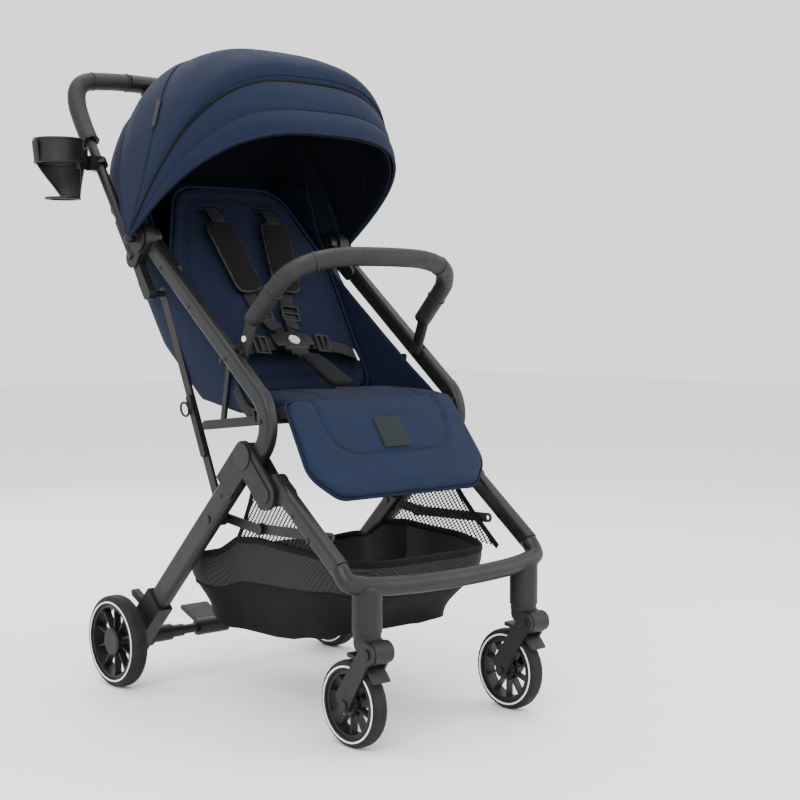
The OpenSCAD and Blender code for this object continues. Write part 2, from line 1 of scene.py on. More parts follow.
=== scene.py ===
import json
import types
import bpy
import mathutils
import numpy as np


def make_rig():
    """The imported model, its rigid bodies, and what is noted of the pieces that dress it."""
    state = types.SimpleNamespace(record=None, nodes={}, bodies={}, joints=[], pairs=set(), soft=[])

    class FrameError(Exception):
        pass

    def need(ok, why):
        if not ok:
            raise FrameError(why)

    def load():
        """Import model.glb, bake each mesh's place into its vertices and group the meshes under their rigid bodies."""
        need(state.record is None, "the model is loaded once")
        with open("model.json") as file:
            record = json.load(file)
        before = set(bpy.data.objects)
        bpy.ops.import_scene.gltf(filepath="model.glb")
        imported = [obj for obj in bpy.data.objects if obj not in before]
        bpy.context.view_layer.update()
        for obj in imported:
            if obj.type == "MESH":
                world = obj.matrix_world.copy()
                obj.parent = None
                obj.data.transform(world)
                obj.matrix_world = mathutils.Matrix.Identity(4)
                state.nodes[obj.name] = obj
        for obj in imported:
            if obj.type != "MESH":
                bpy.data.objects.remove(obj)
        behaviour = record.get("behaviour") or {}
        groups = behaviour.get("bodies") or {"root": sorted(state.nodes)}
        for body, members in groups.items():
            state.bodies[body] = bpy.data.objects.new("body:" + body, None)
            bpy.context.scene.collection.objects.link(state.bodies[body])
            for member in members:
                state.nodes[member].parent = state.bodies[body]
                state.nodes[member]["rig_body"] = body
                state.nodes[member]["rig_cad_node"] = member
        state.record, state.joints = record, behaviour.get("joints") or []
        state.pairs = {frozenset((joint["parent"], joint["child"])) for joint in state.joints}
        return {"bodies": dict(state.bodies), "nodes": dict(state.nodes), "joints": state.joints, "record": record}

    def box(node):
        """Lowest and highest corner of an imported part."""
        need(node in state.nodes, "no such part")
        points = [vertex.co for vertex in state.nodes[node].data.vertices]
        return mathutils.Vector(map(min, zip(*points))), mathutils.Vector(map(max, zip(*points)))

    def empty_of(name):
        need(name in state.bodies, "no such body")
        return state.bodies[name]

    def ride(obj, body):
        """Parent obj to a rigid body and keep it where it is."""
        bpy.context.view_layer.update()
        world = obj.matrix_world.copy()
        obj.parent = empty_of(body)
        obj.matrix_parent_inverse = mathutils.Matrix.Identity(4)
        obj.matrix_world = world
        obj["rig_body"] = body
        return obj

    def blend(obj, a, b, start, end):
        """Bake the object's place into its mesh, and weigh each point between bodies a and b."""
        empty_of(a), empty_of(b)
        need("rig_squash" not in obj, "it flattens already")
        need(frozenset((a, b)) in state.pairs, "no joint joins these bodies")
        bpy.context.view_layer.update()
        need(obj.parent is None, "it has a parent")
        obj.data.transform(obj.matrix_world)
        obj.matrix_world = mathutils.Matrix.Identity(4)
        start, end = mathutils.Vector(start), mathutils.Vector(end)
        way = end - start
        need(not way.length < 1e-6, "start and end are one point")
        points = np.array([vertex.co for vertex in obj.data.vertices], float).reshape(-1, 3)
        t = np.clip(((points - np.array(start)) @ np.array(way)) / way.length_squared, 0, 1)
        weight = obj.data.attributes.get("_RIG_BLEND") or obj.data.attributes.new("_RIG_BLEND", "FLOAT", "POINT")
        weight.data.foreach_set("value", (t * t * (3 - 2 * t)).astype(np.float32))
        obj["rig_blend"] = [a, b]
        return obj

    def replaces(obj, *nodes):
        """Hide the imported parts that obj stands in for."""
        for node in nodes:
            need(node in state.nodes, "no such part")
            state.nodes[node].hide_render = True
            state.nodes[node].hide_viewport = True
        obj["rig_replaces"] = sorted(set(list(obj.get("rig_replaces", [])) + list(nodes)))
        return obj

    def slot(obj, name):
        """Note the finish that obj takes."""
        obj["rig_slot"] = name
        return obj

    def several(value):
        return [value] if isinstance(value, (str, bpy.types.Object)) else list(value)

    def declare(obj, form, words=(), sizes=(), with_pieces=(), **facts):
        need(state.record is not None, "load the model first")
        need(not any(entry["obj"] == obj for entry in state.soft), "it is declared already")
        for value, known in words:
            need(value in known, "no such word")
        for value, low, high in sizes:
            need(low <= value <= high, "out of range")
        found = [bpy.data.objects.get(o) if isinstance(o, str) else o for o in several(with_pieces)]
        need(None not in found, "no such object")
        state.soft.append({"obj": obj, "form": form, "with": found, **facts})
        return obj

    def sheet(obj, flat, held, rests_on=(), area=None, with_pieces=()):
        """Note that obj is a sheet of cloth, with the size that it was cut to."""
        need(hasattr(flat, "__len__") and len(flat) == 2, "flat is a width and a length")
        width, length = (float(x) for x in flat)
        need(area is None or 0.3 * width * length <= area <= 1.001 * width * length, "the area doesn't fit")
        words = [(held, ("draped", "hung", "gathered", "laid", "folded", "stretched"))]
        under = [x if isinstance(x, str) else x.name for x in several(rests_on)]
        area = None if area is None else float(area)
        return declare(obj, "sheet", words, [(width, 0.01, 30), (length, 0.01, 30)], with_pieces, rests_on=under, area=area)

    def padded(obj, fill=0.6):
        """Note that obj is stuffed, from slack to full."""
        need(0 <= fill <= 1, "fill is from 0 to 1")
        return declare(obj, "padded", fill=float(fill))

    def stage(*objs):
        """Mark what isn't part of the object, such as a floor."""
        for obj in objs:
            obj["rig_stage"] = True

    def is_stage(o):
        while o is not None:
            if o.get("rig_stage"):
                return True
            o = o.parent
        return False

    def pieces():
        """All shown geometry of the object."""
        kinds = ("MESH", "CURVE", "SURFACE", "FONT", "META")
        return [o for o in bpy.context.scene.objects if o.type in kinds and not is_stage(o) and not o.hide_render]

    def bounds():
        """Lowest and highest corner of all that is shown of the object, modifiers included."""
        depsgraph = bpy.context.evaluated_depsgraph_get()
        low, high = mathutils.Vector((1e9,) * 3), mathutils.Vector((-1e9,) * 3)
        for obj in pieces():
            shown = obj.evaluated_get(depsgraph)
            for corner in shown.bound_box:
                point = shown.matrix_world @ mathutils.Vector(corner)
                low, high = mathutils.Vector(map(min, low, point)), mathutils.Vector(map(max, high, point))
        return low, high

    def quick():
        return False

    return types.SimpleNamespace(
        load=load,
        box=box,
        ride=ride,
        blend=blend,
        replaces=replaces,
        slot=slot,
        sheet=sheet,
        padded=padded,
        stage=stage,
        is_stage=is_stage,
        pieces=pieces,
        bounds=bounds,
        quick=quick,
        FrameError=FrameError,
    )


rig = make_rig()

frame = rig.load()

import json
import math

import bmesh
import bpy
import numpy as np
from mathutils import Matrix, Vector, noise
from mathutils.bvhtree import BVHTree

cad_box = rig.bounds()
nodes = frame["nodes"]
record = frame["record"]
joint_pos = {j["name"]: j.get("pos_m") for j in record["behaviour"]["joints"]}

# The side view is drawn in millimetres: y behind the main pivot, z above the floor.
ORIGIN = Vector((joint_pos["fold"][0], joint_pos["fold"][1], 0))
HUB_Y = 280
HUB_Z = 733
SIDES = ((-1, "left"), (1, "right"))


def at(x, y, z):
    """A point given in side-view millimetres, in the row frame in metres."""
    return ORIGIN + Vector((x, y, z)) / 1000


# ---------------------------------------------------------------- materials
class Nodes:
    """A small helper that builds one material's node tree."""

    def __init__(self, name, color, rough, metallic=0.0):
        self.mat = bpy.data.materials.new(name)
        self.mat.use_nodes = True
        self.tree = self.mat.node_tree
        self.shader = self.tree.nodes["Principled BSDF"]
        self.shader.inputs["Base Color"].default_value = (*color, 1)
        self.shader.inputs["Roughness"].default_value = rough
        self.shader.inputs["Metallic"].default_value = metallic
        self.coord = self.add("ShaderNodeTexCoord").outputs["Object"]
        self.bump_in = None
        self.shader.inputs["Specular IOR Level"].default_value = 0.3

    def add(self, kind, **values):
        node = self.tree.nodes.new(kind)
        for key, value in values.items():
            setattr(node, key, value)
        return node

    def link(self, a, b):
        self.tree.links.new(a, b)

    def noise(self, scale, detail):
        node = self.add("ShaderNodeTexNoise")
        self.link(self.coord, node.inputs["Vector"])
        node.inputs["Scale"].default_value = scale
        node.inputs["Detail"].default_value = detail
        node.inputs["Roughness"].default_value = 0.55
        return node.outputs["Fac"]

    def wave(self, scale, direction):
        node = self.add("ShaderNodeTexWave", wave_type="BANDS", bands_direction=direction)
        self.link(self.coord, node.inputs["Vector"])
        node.inputs["Scale"].default_value = scale
        node.inputs["Distortion"].default_value = 0.0
        node.inputs["Detail"].default_value = 1.0
        return node.outputs["Fac"]

    def math(self, operation, a, b=None):
        node = self.add("ShaderNodeMath", operation=operation)
        for i, value in enumerate((a, b)):
            if value is None:
                continue
            if isinstance(value, (int, float)):
                node.inputs[i].default_value = value
            else:
                self.link(value, node.inputs[i])
        return node.outputs[0]

    def ramp(self, fac, stops):
        node = self.add("ShaderNodeValToRGB")
        self.link(fac, node.inputs["Fac"])
        ramp = node.color_ramp
        while len(ramp.elements) < len(stops):
            ramp.elements.new(0.5)
        for element, (pos, color) in zip(ramp.elements, stops):
            element.position = pos
            element.color = (*color, 1) if len(color) == 3 else color
        return node.outputs["Color"]

    def color(self, fac, stops):
        self.link(self.ramp(fac, stops), self.shader.inputs["Base Color"])

    def rough(self, fac, low, high):
        out = self.ramp(fac, [(0.3, (low,) * 3), (0.7, (high,) * 3)])
        self.link(out, self.shader.inputs["Roughness"])

    def bump(self, height, strength, distance=0.001):
        node = self.add("ShaderNodeBump")
        node.inputs["Strength"].default_value = strength
        node.inputs["Distance"].default_value = distance
        self.link(height, node.inputs["Height"])
        if self.bump_in is not None:
            self.link(self.bump_in, node.inputs["Normal"])
        self.bump_in = node.outputs["Normal"]
        self.link(self.bump_in, self.shader.inputs["Normal"])

    def sheen(self, weight):
        self.shader.inputs["Sheen Weight"].default_value = weight
        self.shader.inputs["Sheen Roughness"].default_value = 0.5


def shade(color, factor):
    return tuple(c * factor for c in color)


CLOTH_ROUGH = 0.82


def fabric(name, color, weave=620, mottle=0.16, sheen=0.015):
    """Woven cloth: crossed threads, a faint heather mottle and slow soft waves."""
    m = Nodes(name, color, CLOTH_ROUGH)
    cloud = m.noise(38, 5)
    thread = m.noise(1500, 2)
    mix = m.math("ADD", m.math("MULTIPLY", cloud, 0.6), m.math("MULTIPLY", thread, 0.4))
    m.color(mix, [(0.3, shade(color, 1 - mottle)), (0.7, shade(color, 1 + mottle))])
    m.rough(cloud, CLOTH_ROUGH - 0.06, CLOTH_ROUGH + 0.06)
    warp = m.math("ADD", m.wave(weave, "X"), m.wave(weave, "Z"))
    weft = m.math("ADD", warp, m.wave(weave * 1.1, "DIAGONAL"))
    m.bump(weft, 0.35, 0.0002)
    m.bump(m.noise(26, 3), 0.25, 0.004)
    m.sheen(sheen)
    m.shader.inputs["Specular IOR Level"].default_value = 0.12
    return m.mat


def net_cells(m, pitch):
    """Distance from the middle of each opening of a net with staggered cells."""
    split = m.add("ShaderNodeSeparateXYZ")
    m.link(m.coord, split.inputs[0])
    run = m.math("MULTIPLY", m.math("ADD", split.outputs["X"], split.outputs["Y"]), 0.8)
    weave = m.add("ShaderNodeCombineXYZ")
    m.link(m.math("ADD", run, split.outputs["Z"]), weave.inputs["X"])
    m.link(m.math("SUBTRACT", run, split.outputs["Z"]), weave.inputs["Y"])
    cell = m.add("ShaderNodeTexVoronoi", feature="F1", voronoi_dimensions="2D")
    m.link(weave.outputs[0], cell.inputs["Vector"])
    cell.inputs["Scale"].default_value = 1 / pitch
    cell.inputs["Randomness"].default_value = 0.0
    return cell.outputs["Distance"]


def open_mesh(name, color, pitch, hole):
    """Net with real openings between its threads."""
    m = Nodes(name, color, 0.7)
    alpha = m.math("GREATER_THAN", net_cells(m, pitch), hole)
    m.link(alpha, m.shader.inputs["Alpha"])
    m.color(m.noise(60, 3), [(0.3, shade(color, 0.8)), (0.7, shade(color, 1.2))])
    m.bump(m.noise(900, 2), 0.3, 0.0003)
    return m.mat


def backed_mesh(name, color, pitch):
    """Net laid over black cloth: its openings show as dark dots."""
    m = Nodes(name, color, 0.75)
    cells = net_cells(m, pitch)
    m.color(cells, [(0.30, shade(color, 0.22)), (0.46, shade(color, 1.3))])
    m.bump(cells, 0.6, 0.0008)
    return m.mat


def powder_coat(name, color):
    m = Nodes(name, color, 0.42, 0.1)
    m.color(m.noise(14, 3), [(0.35, shade(color, 0.9)), (0.7, shade(color, 1.12))])
    m.rough(m.noise(60, 4), 0.34, 0.48)
    m.bump(m.noise(1900, 2), 0.22, 0.0002)
    m.bump(m.noise(9, 2), 0.03, 0.001)
    return m.mat


def plastic(name, color, rough=0.5, grain=1300):
    m = Nodes(name, color, rough)
    m.color(m.noise(20, 4), [(0.35, shade(color, 0.88)), (0.7, shade(color, 1.15))])
    m.rough(m.noise(45, 5), rough - 0.07, rough + 0.07)
    pits = m.add("ShaderNodeTexVoronoi", feature="F1")
    m.link(m.coord, pits.inputs["Vector"])
    pits.inputs["Scale"].default_value = grain
    m.bump(pits.outputs["Distance"], 0.28, 0.0003)
    return m.mat


def leatherette(name, color):
    m = Nodes(name, color, 0.58)
    grain = m.add("ShaderNodeTexVoronoi", feature="DISTANCE_TO_EDGE")
    m.link(m.coord, grain.inputs["Vector"])
    grain.inputs["Scale"].default_value = 620
    m.color(m.noise(30, 4), [(0.35, shade(color, 0.85)), (0.7, shade(color, 1.2))])
    m.rough(m.noise(80, 4), 0.5, 0.66)
    m.bump(grain.outputs["Distance"], 0.5, 0.0006)
    m.bump(m.noise(240, 3), 0.2, 0.0008)
    return m.mat


def webbing(name, color):
    m = Nodes(name, color, 0.72)
    m.color(m.noise(300, 3), [(0.3, shade(color, 0.75)), (0.7, shade(color, 1.35))])
    ribs = m.math("ADD", m.wave(330, "X"), m.wave(210, "DIAGONAL"))
    m.bump(ribs, 0.5, 0.0005)
    m.sheen(0.03)
    return m.mat


def rubber(name, color):
    m = Nodes(name, color, 0.78)
    m.color(m.noise(55, 5), [(0.3, shade(color, 0.8)), (0.72, shade(color, 1.5))])
    m.rough(m.noise(30, 4), 0.68, 0.86)
    m.bump(m.noise(1100, 3), 0.3, 0.0004)
    return m.mat


NAVY = (0.0066, 0.0112, 0.0285)
SEAT_NAVY = (0.0060, 0.0100, 0.0250)
# Lining navy: a darker cloth than the outer navy, darkened further by painted shade for the dim inside of the hood.
LINING_NAVY_WITH_PAINTED_SHADE = (0.0030, 0.0042, 0.0085)

mats = {
    "navy_fabric": fabric("navy_fabric", NAVY),
    "seat_fabric": fabric("seat_fabric", SEAT_NAVY, mottle=0.22),
    # Lining material: darker navy cloth plus painted shade of the hood's inside.
    "lining": fabric("lining", LINING_NAVY_WITH_PAINTED_SHADE),
    "black_fabric": fabric("black_fabric", (0.0045, 0.0045, 0.0048), sheen=0.02),
    "mesh_dark": backed_mesh("mesh_dark", (0.013, 0.013, 0.0135), 0.0066),
    "mesh_open": open_mesh("mesh_open", (0.012, 0.012, 0.013), 0.0072, 0.43),
    "webbing": webbing("webbing", (0.0038, 0.0038, 0.0041)),
    "frame_paint": powder_coat("frame_paint", (0.0095, 0.0095, 0.0100)),
    "black_plastic": plastic("black_plastic", (0.0062, 0.0062, 0.0066)),
    "charcoal_plastic": plastic("charcoal_plastic", (0.022, 0.022, 0.023), 0.55),
    "soft_grip": leatherette("soft_grip", (0.0095, 0.0095, 0.0100)),
    "tyre": rubber("tyre", (0.0065, 0.0065, 0.0068)),
    "rivet": powder_coat("rivet", (0.012, 0.012, 0.013)),
    "pale_button": plastic("pale_button", (0.72, 0.73, 0.73), 0.4),
    "grey_button": plastic("grey_button", (0.40, 0.47, 0.45), 0.42),
    "white_ring": plastic("white_ring", (0.85, 0.85, 0.84), 0.45),
    "thread": fabric("thread", (0.018, 0.030, 0.066), weave=1400),
    "heather": fabric("heather", (0.0085, 0.0145, 0.0340), mottle=0.3),
    "patch": fabric("patch", (0.0130, 0.0190, 0.0180), mottle=0.1, sheen=0.02),
}


# ---------------------------------------------------------------- mesh helpers
def finish_piece(obj, mat, body=None, replaces=(), slot=None, smooth=True):
    obj.data.materials.clear()
    obj.data.materials.append(mats[mat])
    if smooth:
        for p in obj.data.polygons:
            p.use_smooth = True
    if body:
        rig.ride(obj, body)
    if replaces:
        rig.replaces(obj, *replaces)
    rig.slot(obj, slot or (mat if mat in SLOTS else "black_plastic"))
    return obj


SLOTS = {m["slot"] for m in record["materials"]}


def add_object(name, data):
    """A new object in the scene."""
    obj = bpy.data.objects.new(name, data)
    bpy.context.scene.collection.objects.link(obj)
    return obj


def new_object(name, verts, faces):
    mesh = bpy.data.meshes.new(name)
    mesh.from_pydata([tuple(v) for v in verts], [], faces)
    mesh.validate()
    mesh.update()
    return add_object(name, mesh)


def from_bmesh(name, bm):
    mesh = bpy.data.meshes.new(name)
    bm.to_mesh(mesh)
    bm.free()
    return add_object(name, mesh)


def face_outwards(obj, weld=False):
    """Turns every face outwards, after joining points that coincide if weld is set."""
    bm = bmesh.new()
    bm.from_mesh(obj.data)
    if weld:
        bmesh.ops.remove_doubles(bm, verts=bm.verts, dist=1e-6)
    bmesh.ops.recalc_face_normals(bm, faces=bm.faces)
    bm.to_mesh(obj.data)
    bm.free()
    return obj


def apply_modifiers(obj):
    bpy.context.view_layer.update()
    graph = bpy.context.evaluated_depsgraph_get()
    mesh = bpy.data.meshes.new_from_object(obj.evaluated_get(graph))
    obj.modifiers.clear()
    obj.data = mesh
    return obj


def thicken(obj, thickness):
    solid = obj.modifiers.new("Solid", "SOLIDIFY")
    solid.thickness = thickness
    solid.offset = 0
    return apply_modifiers(obj)


def grid(name, point, nu, nv, thickness=0.0):
    """A sheet from point(u, v) with u and v from 0 to 1, given an even thickness."""
    cols = nv + 1
    verts = [point(i / nu, j / nv) for i in range(nu + 1) for j in range(cols)]
    faces = []
    for i in range(nu):
        for j in range(nv):
            k = j + 1
            faces.append((i * cols + j, i * cols + k, (i + 1) * cols + k, (i + 1) * cols + j))
    obj = new_object(name, verts, faces)
    if thickness:
        thicken(obj, thickness)
    return obj


def smooth_path(points, steps=10, closed=False):
    """Catmull-Rom curve through points."""
    pts = [Vector(p) for p in points]
    n = len(pts)
    out = []
    spans = n if closed else n - 1
    for i in range(spans):
        if closed:
            p0, p1, p2, p3 = (pts[(i + k) % n] for k in (-1, 0, 1, 2))
        else:
            p1, p2 = pts[i], pts[i + 1]
            p0 = pts[i - 1] if i else p1 * 2 - p2
            p3 = pts[i + 2] if i + 2 < n else p2 * 2 - p1
        for s in range(steps):
            t = s / steps
            out.append(0.5 * (2 * p1 + (p2 - p0) * t + (2 * p0 - 5 * p1 + 4 * p2 - p3) * t * t
                              + (3 * p1 - p0 - 3 * p2 + p3) * t ** 3))
    if not closed:
        out.append(pts[-1])
    return out


def frames_along(path, up, closed=False):
    """Tangent, side and up directions at each point of a path."""
    n = len(path)
    out = []
    for i in range(n):
        a = path[(i - 1) % n] if closed or i else path[i]
        b = path[(i + 1) % n] if closed or i < n - 1 else path[i]
        t = (b - a).normalized()
        ref = up(i / max(1, n - 1)) if callable(up) else Vector(up)
        w = (ref - ref.dot(t) * t).normalized()
        out.append((t, t.cross(w), w))
    return out


def sweep(name, path, section, up, closed=False):
    """Sweeps a closed section along a path. section(s) gives (side, up) points in metres."""
    dirs = frames_along(path, up, closed)
    n = len(path)
    verts, faces = [], []
    for i, p in enumerate(path):
        t, side, w = dirs[i]
        ring = section(i / max(1, n - 1))
        verts += [p + side * a + w * b for a, b in ring]
    m = len(section(0))
    for i in range(n if closed else n - 1):
        k = (i + 1) % n
        for j in range(m):
            q = (j + 1) % m
            faces.append((i * m + j, i * m + q, k * m + q, k * m + j))
    if not closed:
        faces.append(tuple(range(m)))
        faces.append(tuple(reversed(range((n - 1) * m, n * m))))
    return face_outwards(new_object(name, verts, faces))


def circle(r, n=16, squash=1.0):
    return [(r * math.cos(2 * math.pi * i / n), r * squash * math.sin(2 * math.pi * i / n))
            for i in range(n)]


def strap_section(w, t, n=4):
    """Flat band with rounded long edges."""
    h, r = w / 2 - t / 2, t / 2
    out = []
    for i in range(n + 1):
        a = -math.pi / 2 + math.pi * i / n
        out.append((h + r * math.cos(a), r * math.sin(a)))
    for i in range(n + 1):
        a = math.pi / 2 + math.pi * i / n
        out.append((-h + r * math.cos(a), r * math.sin(a)))
    return out


def strap(name, points, width, thick, up, steps=10):
    path = smooth_path(points, steps)
    return sweep(name, path, lambda s: strap_section(width, thick), up)


def join(objs, name):
    base = objs[0]
    bm = bmesh.new()
    for o in objs:
        bm.from_mesh(o.data)
    bm.to_mesh(base.data)
    bm.free()
    for o in objs[1:]:
        bpy.data.objects.remove(o)
    base.name = name
    return base


def smoothstep(t):
    t = min(1.0, max(0.0, t))
    return t * t * (3 - 2 * t)


def lerp(a, b, t):
    return a + (b - a) * t


def along(line, t):
    """Point on a list of (y, z) pairs, by share of its length."""
    lengths = [math.dist(a, b) for a, b in zip(line, line[1:])]
    d = t * sum(lengths)
    for (a, b), step in zip(zip(line, line[1:]), lengths):
        if d <= step or b is line[-1]:
            k = min(1.0, d / step)
            return lerp(a[0], b[0], k), lerp(a[1], b[1], k)
        d -= step


# ---------------------------------------------------------------- padding
PRESSURE = 4.0
FRAMES = 18
SEAM_FACING = 0.6
PAD_VOXEL = 0.0055
SMALL_VOXEL = 0.004


def puff(obj, out, cap, voxel):
    """Fills a pad with air by cloth simulation, with every point kept within cap metres.

    The walls of the pad, where it is sewn, are held; its faces swell along out.
    """
    remesh = obj.modifiers.new("Remesh", "REMESH")
    remesh.mode = "VOXEL"
    remesh.voxel_size = voxel
    apply_modifiers(obj)
    start = [v.co.copy() for v in obj.data.vertices]
    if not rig.quick():
        cloth = obj.modifiers.new("Cloth", "CLOTH")
        s = cloth.settings
        out = Vector(out).normalized()
        seam = obj.vertex_groups.new(name="Seam")
        walls = [v.index for v in obj.data.vertices if abs(v.normal.dot(out)) < SEAM_FACING]
        seam.add(walls, 1.0, "REPLACE")
        s.vertex_group_mass = "Seam"
        s.pin_stiffness = 1.0
        s.quality = 5
        s.mass = 0.3
        s.use_pressure = True
        s.uniform_pressure_force = PRESSURE
        s.effector_weights.gravity = 0
        s.tension_stiffness = s.compression_stiffness = 12
        s.bending_stiffness = 0.6
        cloth.point_cache.frame_start = 1
        cloth.point_cache.frame_end = FRAMES
        scene = bpy.context.scene
        for f in range(1, FRAMES + 1):
            scene.frame_set(f)
        apply_modifiers(obj)
        scene.frame_set(1)
    for v, p in zip(obj.data.vertices, start):
        d = v.co - p
        if d.length > cap:
            v.co = p + d.normalized() * cap
    smooth = obj.modifiers.new("Smooth", "SMOOTH")
    smooth.factor = 0.5
    smooth.iterations = 4
    apply_modifiers(obj)
    return obj


def outline_solid(name, outline, to_world, thick):
    """Prism from a closed 2D outline, rounded by the later simulation."""
    n = len(outline)
    verts = [to_world(x, y, 0) for x, y in outline] + [to_world(x, y, thick) for x, y in outline]
    faces = [tuple(range(n)), tuple(reversed(range(n, 2 * n)))]
    faces += [(i, i + n, (i + 1) % n + n, (i + 1) % n) for i in range(n)]
    return face_outwards(new_object(name, verts, faces))


def press(obj, line, width, depth, into):
    """Presses a sewn channel into a pad along a list of points; into points into the pad."""
    into = Vector(into).normalized()
    path = np.array([tuple(p) for p in line])
    push = np.array(into)
    co = np.array([tuple(v.co) for v in obj.data.vertices])
    flat_path = path - np.outer(path @ push, push)
    flat_co = co - np.outer(co @ push, push)
    near = np.full(len(co), 1e9)
    for p in flat_path:
        near = np.minimum(near, np.linalg.norm(flat_co - p, axis=1))
    facing = np.array([max(0.0, -v.normal.dot(into)) for v in obj.data.vertices])
    co += np.outer(depth * np.exp(-(near / width) ** 2) * facing, push)
    obj.data.vertices.foreach_set("co", co.ravel())
    obj.data.update()
    return obj


def refine(obj):
    sub = obj.modifiers.new("Subdivision", "SUBSURF")
    sub.levels = sub.render_levels = 1
    return apply_modifiers(obj)


def on_surface(obj, line, into, lift=0.0004):
    """Drops points on a pad's surface, looking along into."""
    into = Vector(into).normalized()
    tree = BVHTree.FromObject(obj, bpy.context.evaluated_depsgraph_get())
    out = []
    for p in line:
        hit, normal, _, _ = tree.ray_cast(Vector(p) - into * 0.08, into)
        if hit is not None:
            out.append((hit + normal * lift, normal))
    return out


def stitches(name, obj, line, into, length=0.0042, gap=0.0022, r=0.0006):
    """A row of raised thread stitches on a pad's surface."""
    spots = on_surface(obj, line, into)
    bm = bmesh.new()
    travelled, mark = 0.0, 0.0
    for (a, na), (b, _) in zip(spots, spots[1:]):
        step = (b - a).length
        if step > 0.02:
            continue
        while mark < travelled + step:
            p = a.lerp(b, (mark - travelled) / max(step, 1e-6))
            t = (b - a).normalized()
            side = na.cross(t).normalized()
            ring = [[], []]
            for end, shift in enumerate((-0.5, 0.5)):
                c = p + t * (shift * length)
                for k in range(5):
                    ang = 2 * math.pi * k / 5
                    ring[end].append(bm.verts.new(c + side * (r * math.cos(ang))
                                                  + na * (r * math.sin(ang))))
            for k in range(5):
                q = (k + 1) % 5
                bm.faces.new((ring[0][k], ring[0][q], ring[1][q], ring[1][k]))
            bm.faces.new(ring[0][::-1])
            bm.faces.new(ring[1])
            mark += length + gap
        travelled += step
    return from_bmesh(name, bm)


def dense(points, step=0.003, closed=False):
    """Points spaced evenly enough for a seam."""
    pts = [Vector(p) for p in points]
    if closed:
        pts.append(pts[0])
    out = []
    for a, b in zip(pts, pts[1:]):
        n = max(1, int((b - a).length / step))
        out += [a.lerp(b, i / n) for i in range(n)]
    return out + [pts[-1]]


def round_outline(corners, steps=6):
    """Closed outline with round corners from (x, y, radius) corners."""
    n = len(corners)
    out = []
    for i in range(n):
        p = Vector(corners[i][:2])
        r = corners[i][2]
        a = (Vector(corners[i - 1][:2]) - p).normalized()
        b = (Vector(corners[(i + 1) % n][:2]) - p).normalized()
        half = math.acos(max(-1.0, min(1.0, a.dot(b)))) / 2
        cut = r / math.tan(half)
        start, end = p + a * cut, p + b * cut
        for k in range(steps + 1):
            t = k / steps
            q = start.lerp(p, t).lerp(p.lerp(end, t), t)
            out.append((q.x, q.y))
    return out


def inset(outline, d):
    """Outline moved inwards by d."""
    n = len(outline)
    cx = sum(p[0] for p in outline) / n
    cy = sum(p[1] for p in outline) / n
    out = []
    for i in range(n):
        a, b = Vector(outline[i - 1]), Vector(outline[(i + 1) % n])
        t = (b - a).normalized()
        normal = Vector((-t.y, t.x))
        p = Vector(outline[i])
        if normal.dot(Vector((cx, cy)) - p) < 0:
            normal = -normal
        p = p + normal * d
        out.append((p.x, p.y))
    return out


def box_piece(name, centre, size, axes, bevel, segments=3):
    """Block with well rounded edges in its own axes."""
    bm = bmesh.new()
    bmesh.ops.create_cube(bm, size=1)
    bmesh.ops.scale(bm, vec=size, verts=bm.verts)
    bmesh.ops.bevel(bm, geom=bm.edges[:], offset=bevel, segments=segments, profile=0.6,
                    affect="EDGES")
    x, y, z = (Vector(a).normalized() for a in axes)
    turn = Matrix((x, y, z)).transposed().to_4x4()
    turn.translation = Vector(centre)
    bm.transform(turn)
    return from_bmesh(name, bm)


def turned(name, centre, axis, profile, steps=48):
    """Closed turned shape: profile of (distance along axis, radius) about an axis."""
    axis = Vector(axis).normalized()
    u = axis.orthogonal().normalized()
    w = axis.cross(u)
    verts, faces = [], []
    m = len(profile)
    for i in range(steps):
        a = 2 * math.pi * i / steps
        d = u * math.cos(a) + w * math.sin(a)
        verts += [Vector(centre) + axis * p + d * r for p, r in profile]
    for i in range(steps):
        k = (i + 1) % steps
        for j in range(m):
            q = (j + 1) % m
            faces.append((i * m + j, k * m + j, k * m + q, i * m + q))
    return face_outwards(new_object(name, verts, faces), weld=True)


# ---------------------------------------------------------------- CAD nodes
for cad in nodes.values():
    base = cad.data.materials[0].name.split(".")[0] if cad.data.materials else "black_plastic"
    if base not in mats:
        base = "black_plastic"
    cad.data.materials.clear()
    cad.data.materials.append(mats[base])
    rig.slot(cad, base)


# ---------------------------------------------------------------- hood
SHOULDER = 0.68
CORNER_X = 228
SHEET = 0.0022
BLEND_REACH = 250
LOBE_BLEND_REACH = 220

# Each rib of the hood: angle at its sides, angle at its crown, reach, half width (mm).
# Angles turn about the hub line, from straight ahead over the top.
RIM = (35, 35, 284, 226)
BAND = (41.5, 43.5, 291, 230)
PIPING = (49, 54, 305, 233)
SWELL = [(50.5, 57.5, 322, 235), (52, 61, 326, 236), (53, 67, 324, 237),
         (55, 75, 321, 238), (58, 84, 312, 237)]
TAG = (60, 92, 303, 235)
REAR = (114, 108, 289, 207)


def rib_mix(stops, v):
    """Rib at share v of the way through the stops, along a smooth curve."""
    spans = len(stops) - 1
    i = min(int(v * spans), spans - 1)
    t = v * spans - i
    p1, p2 = stops[i], stops[i + 1]
    p0 = stops[i - 1] if i else [2 * a - b for a, b in zip(p1, p2)]
    p3 = stops[i + 2] if i + 2 <= spans else [2 * b - a for a, b in zip(p1, p2)]
    return [0.5 * (2 * b + (c - a) * t + (2 * a - 5 * b + 4 * c - d) * t * t
                   + (3 * b - a - 3 * c + d) * t ** 3) for a, b, c, d in zip(p0, p1, p2, p3)]


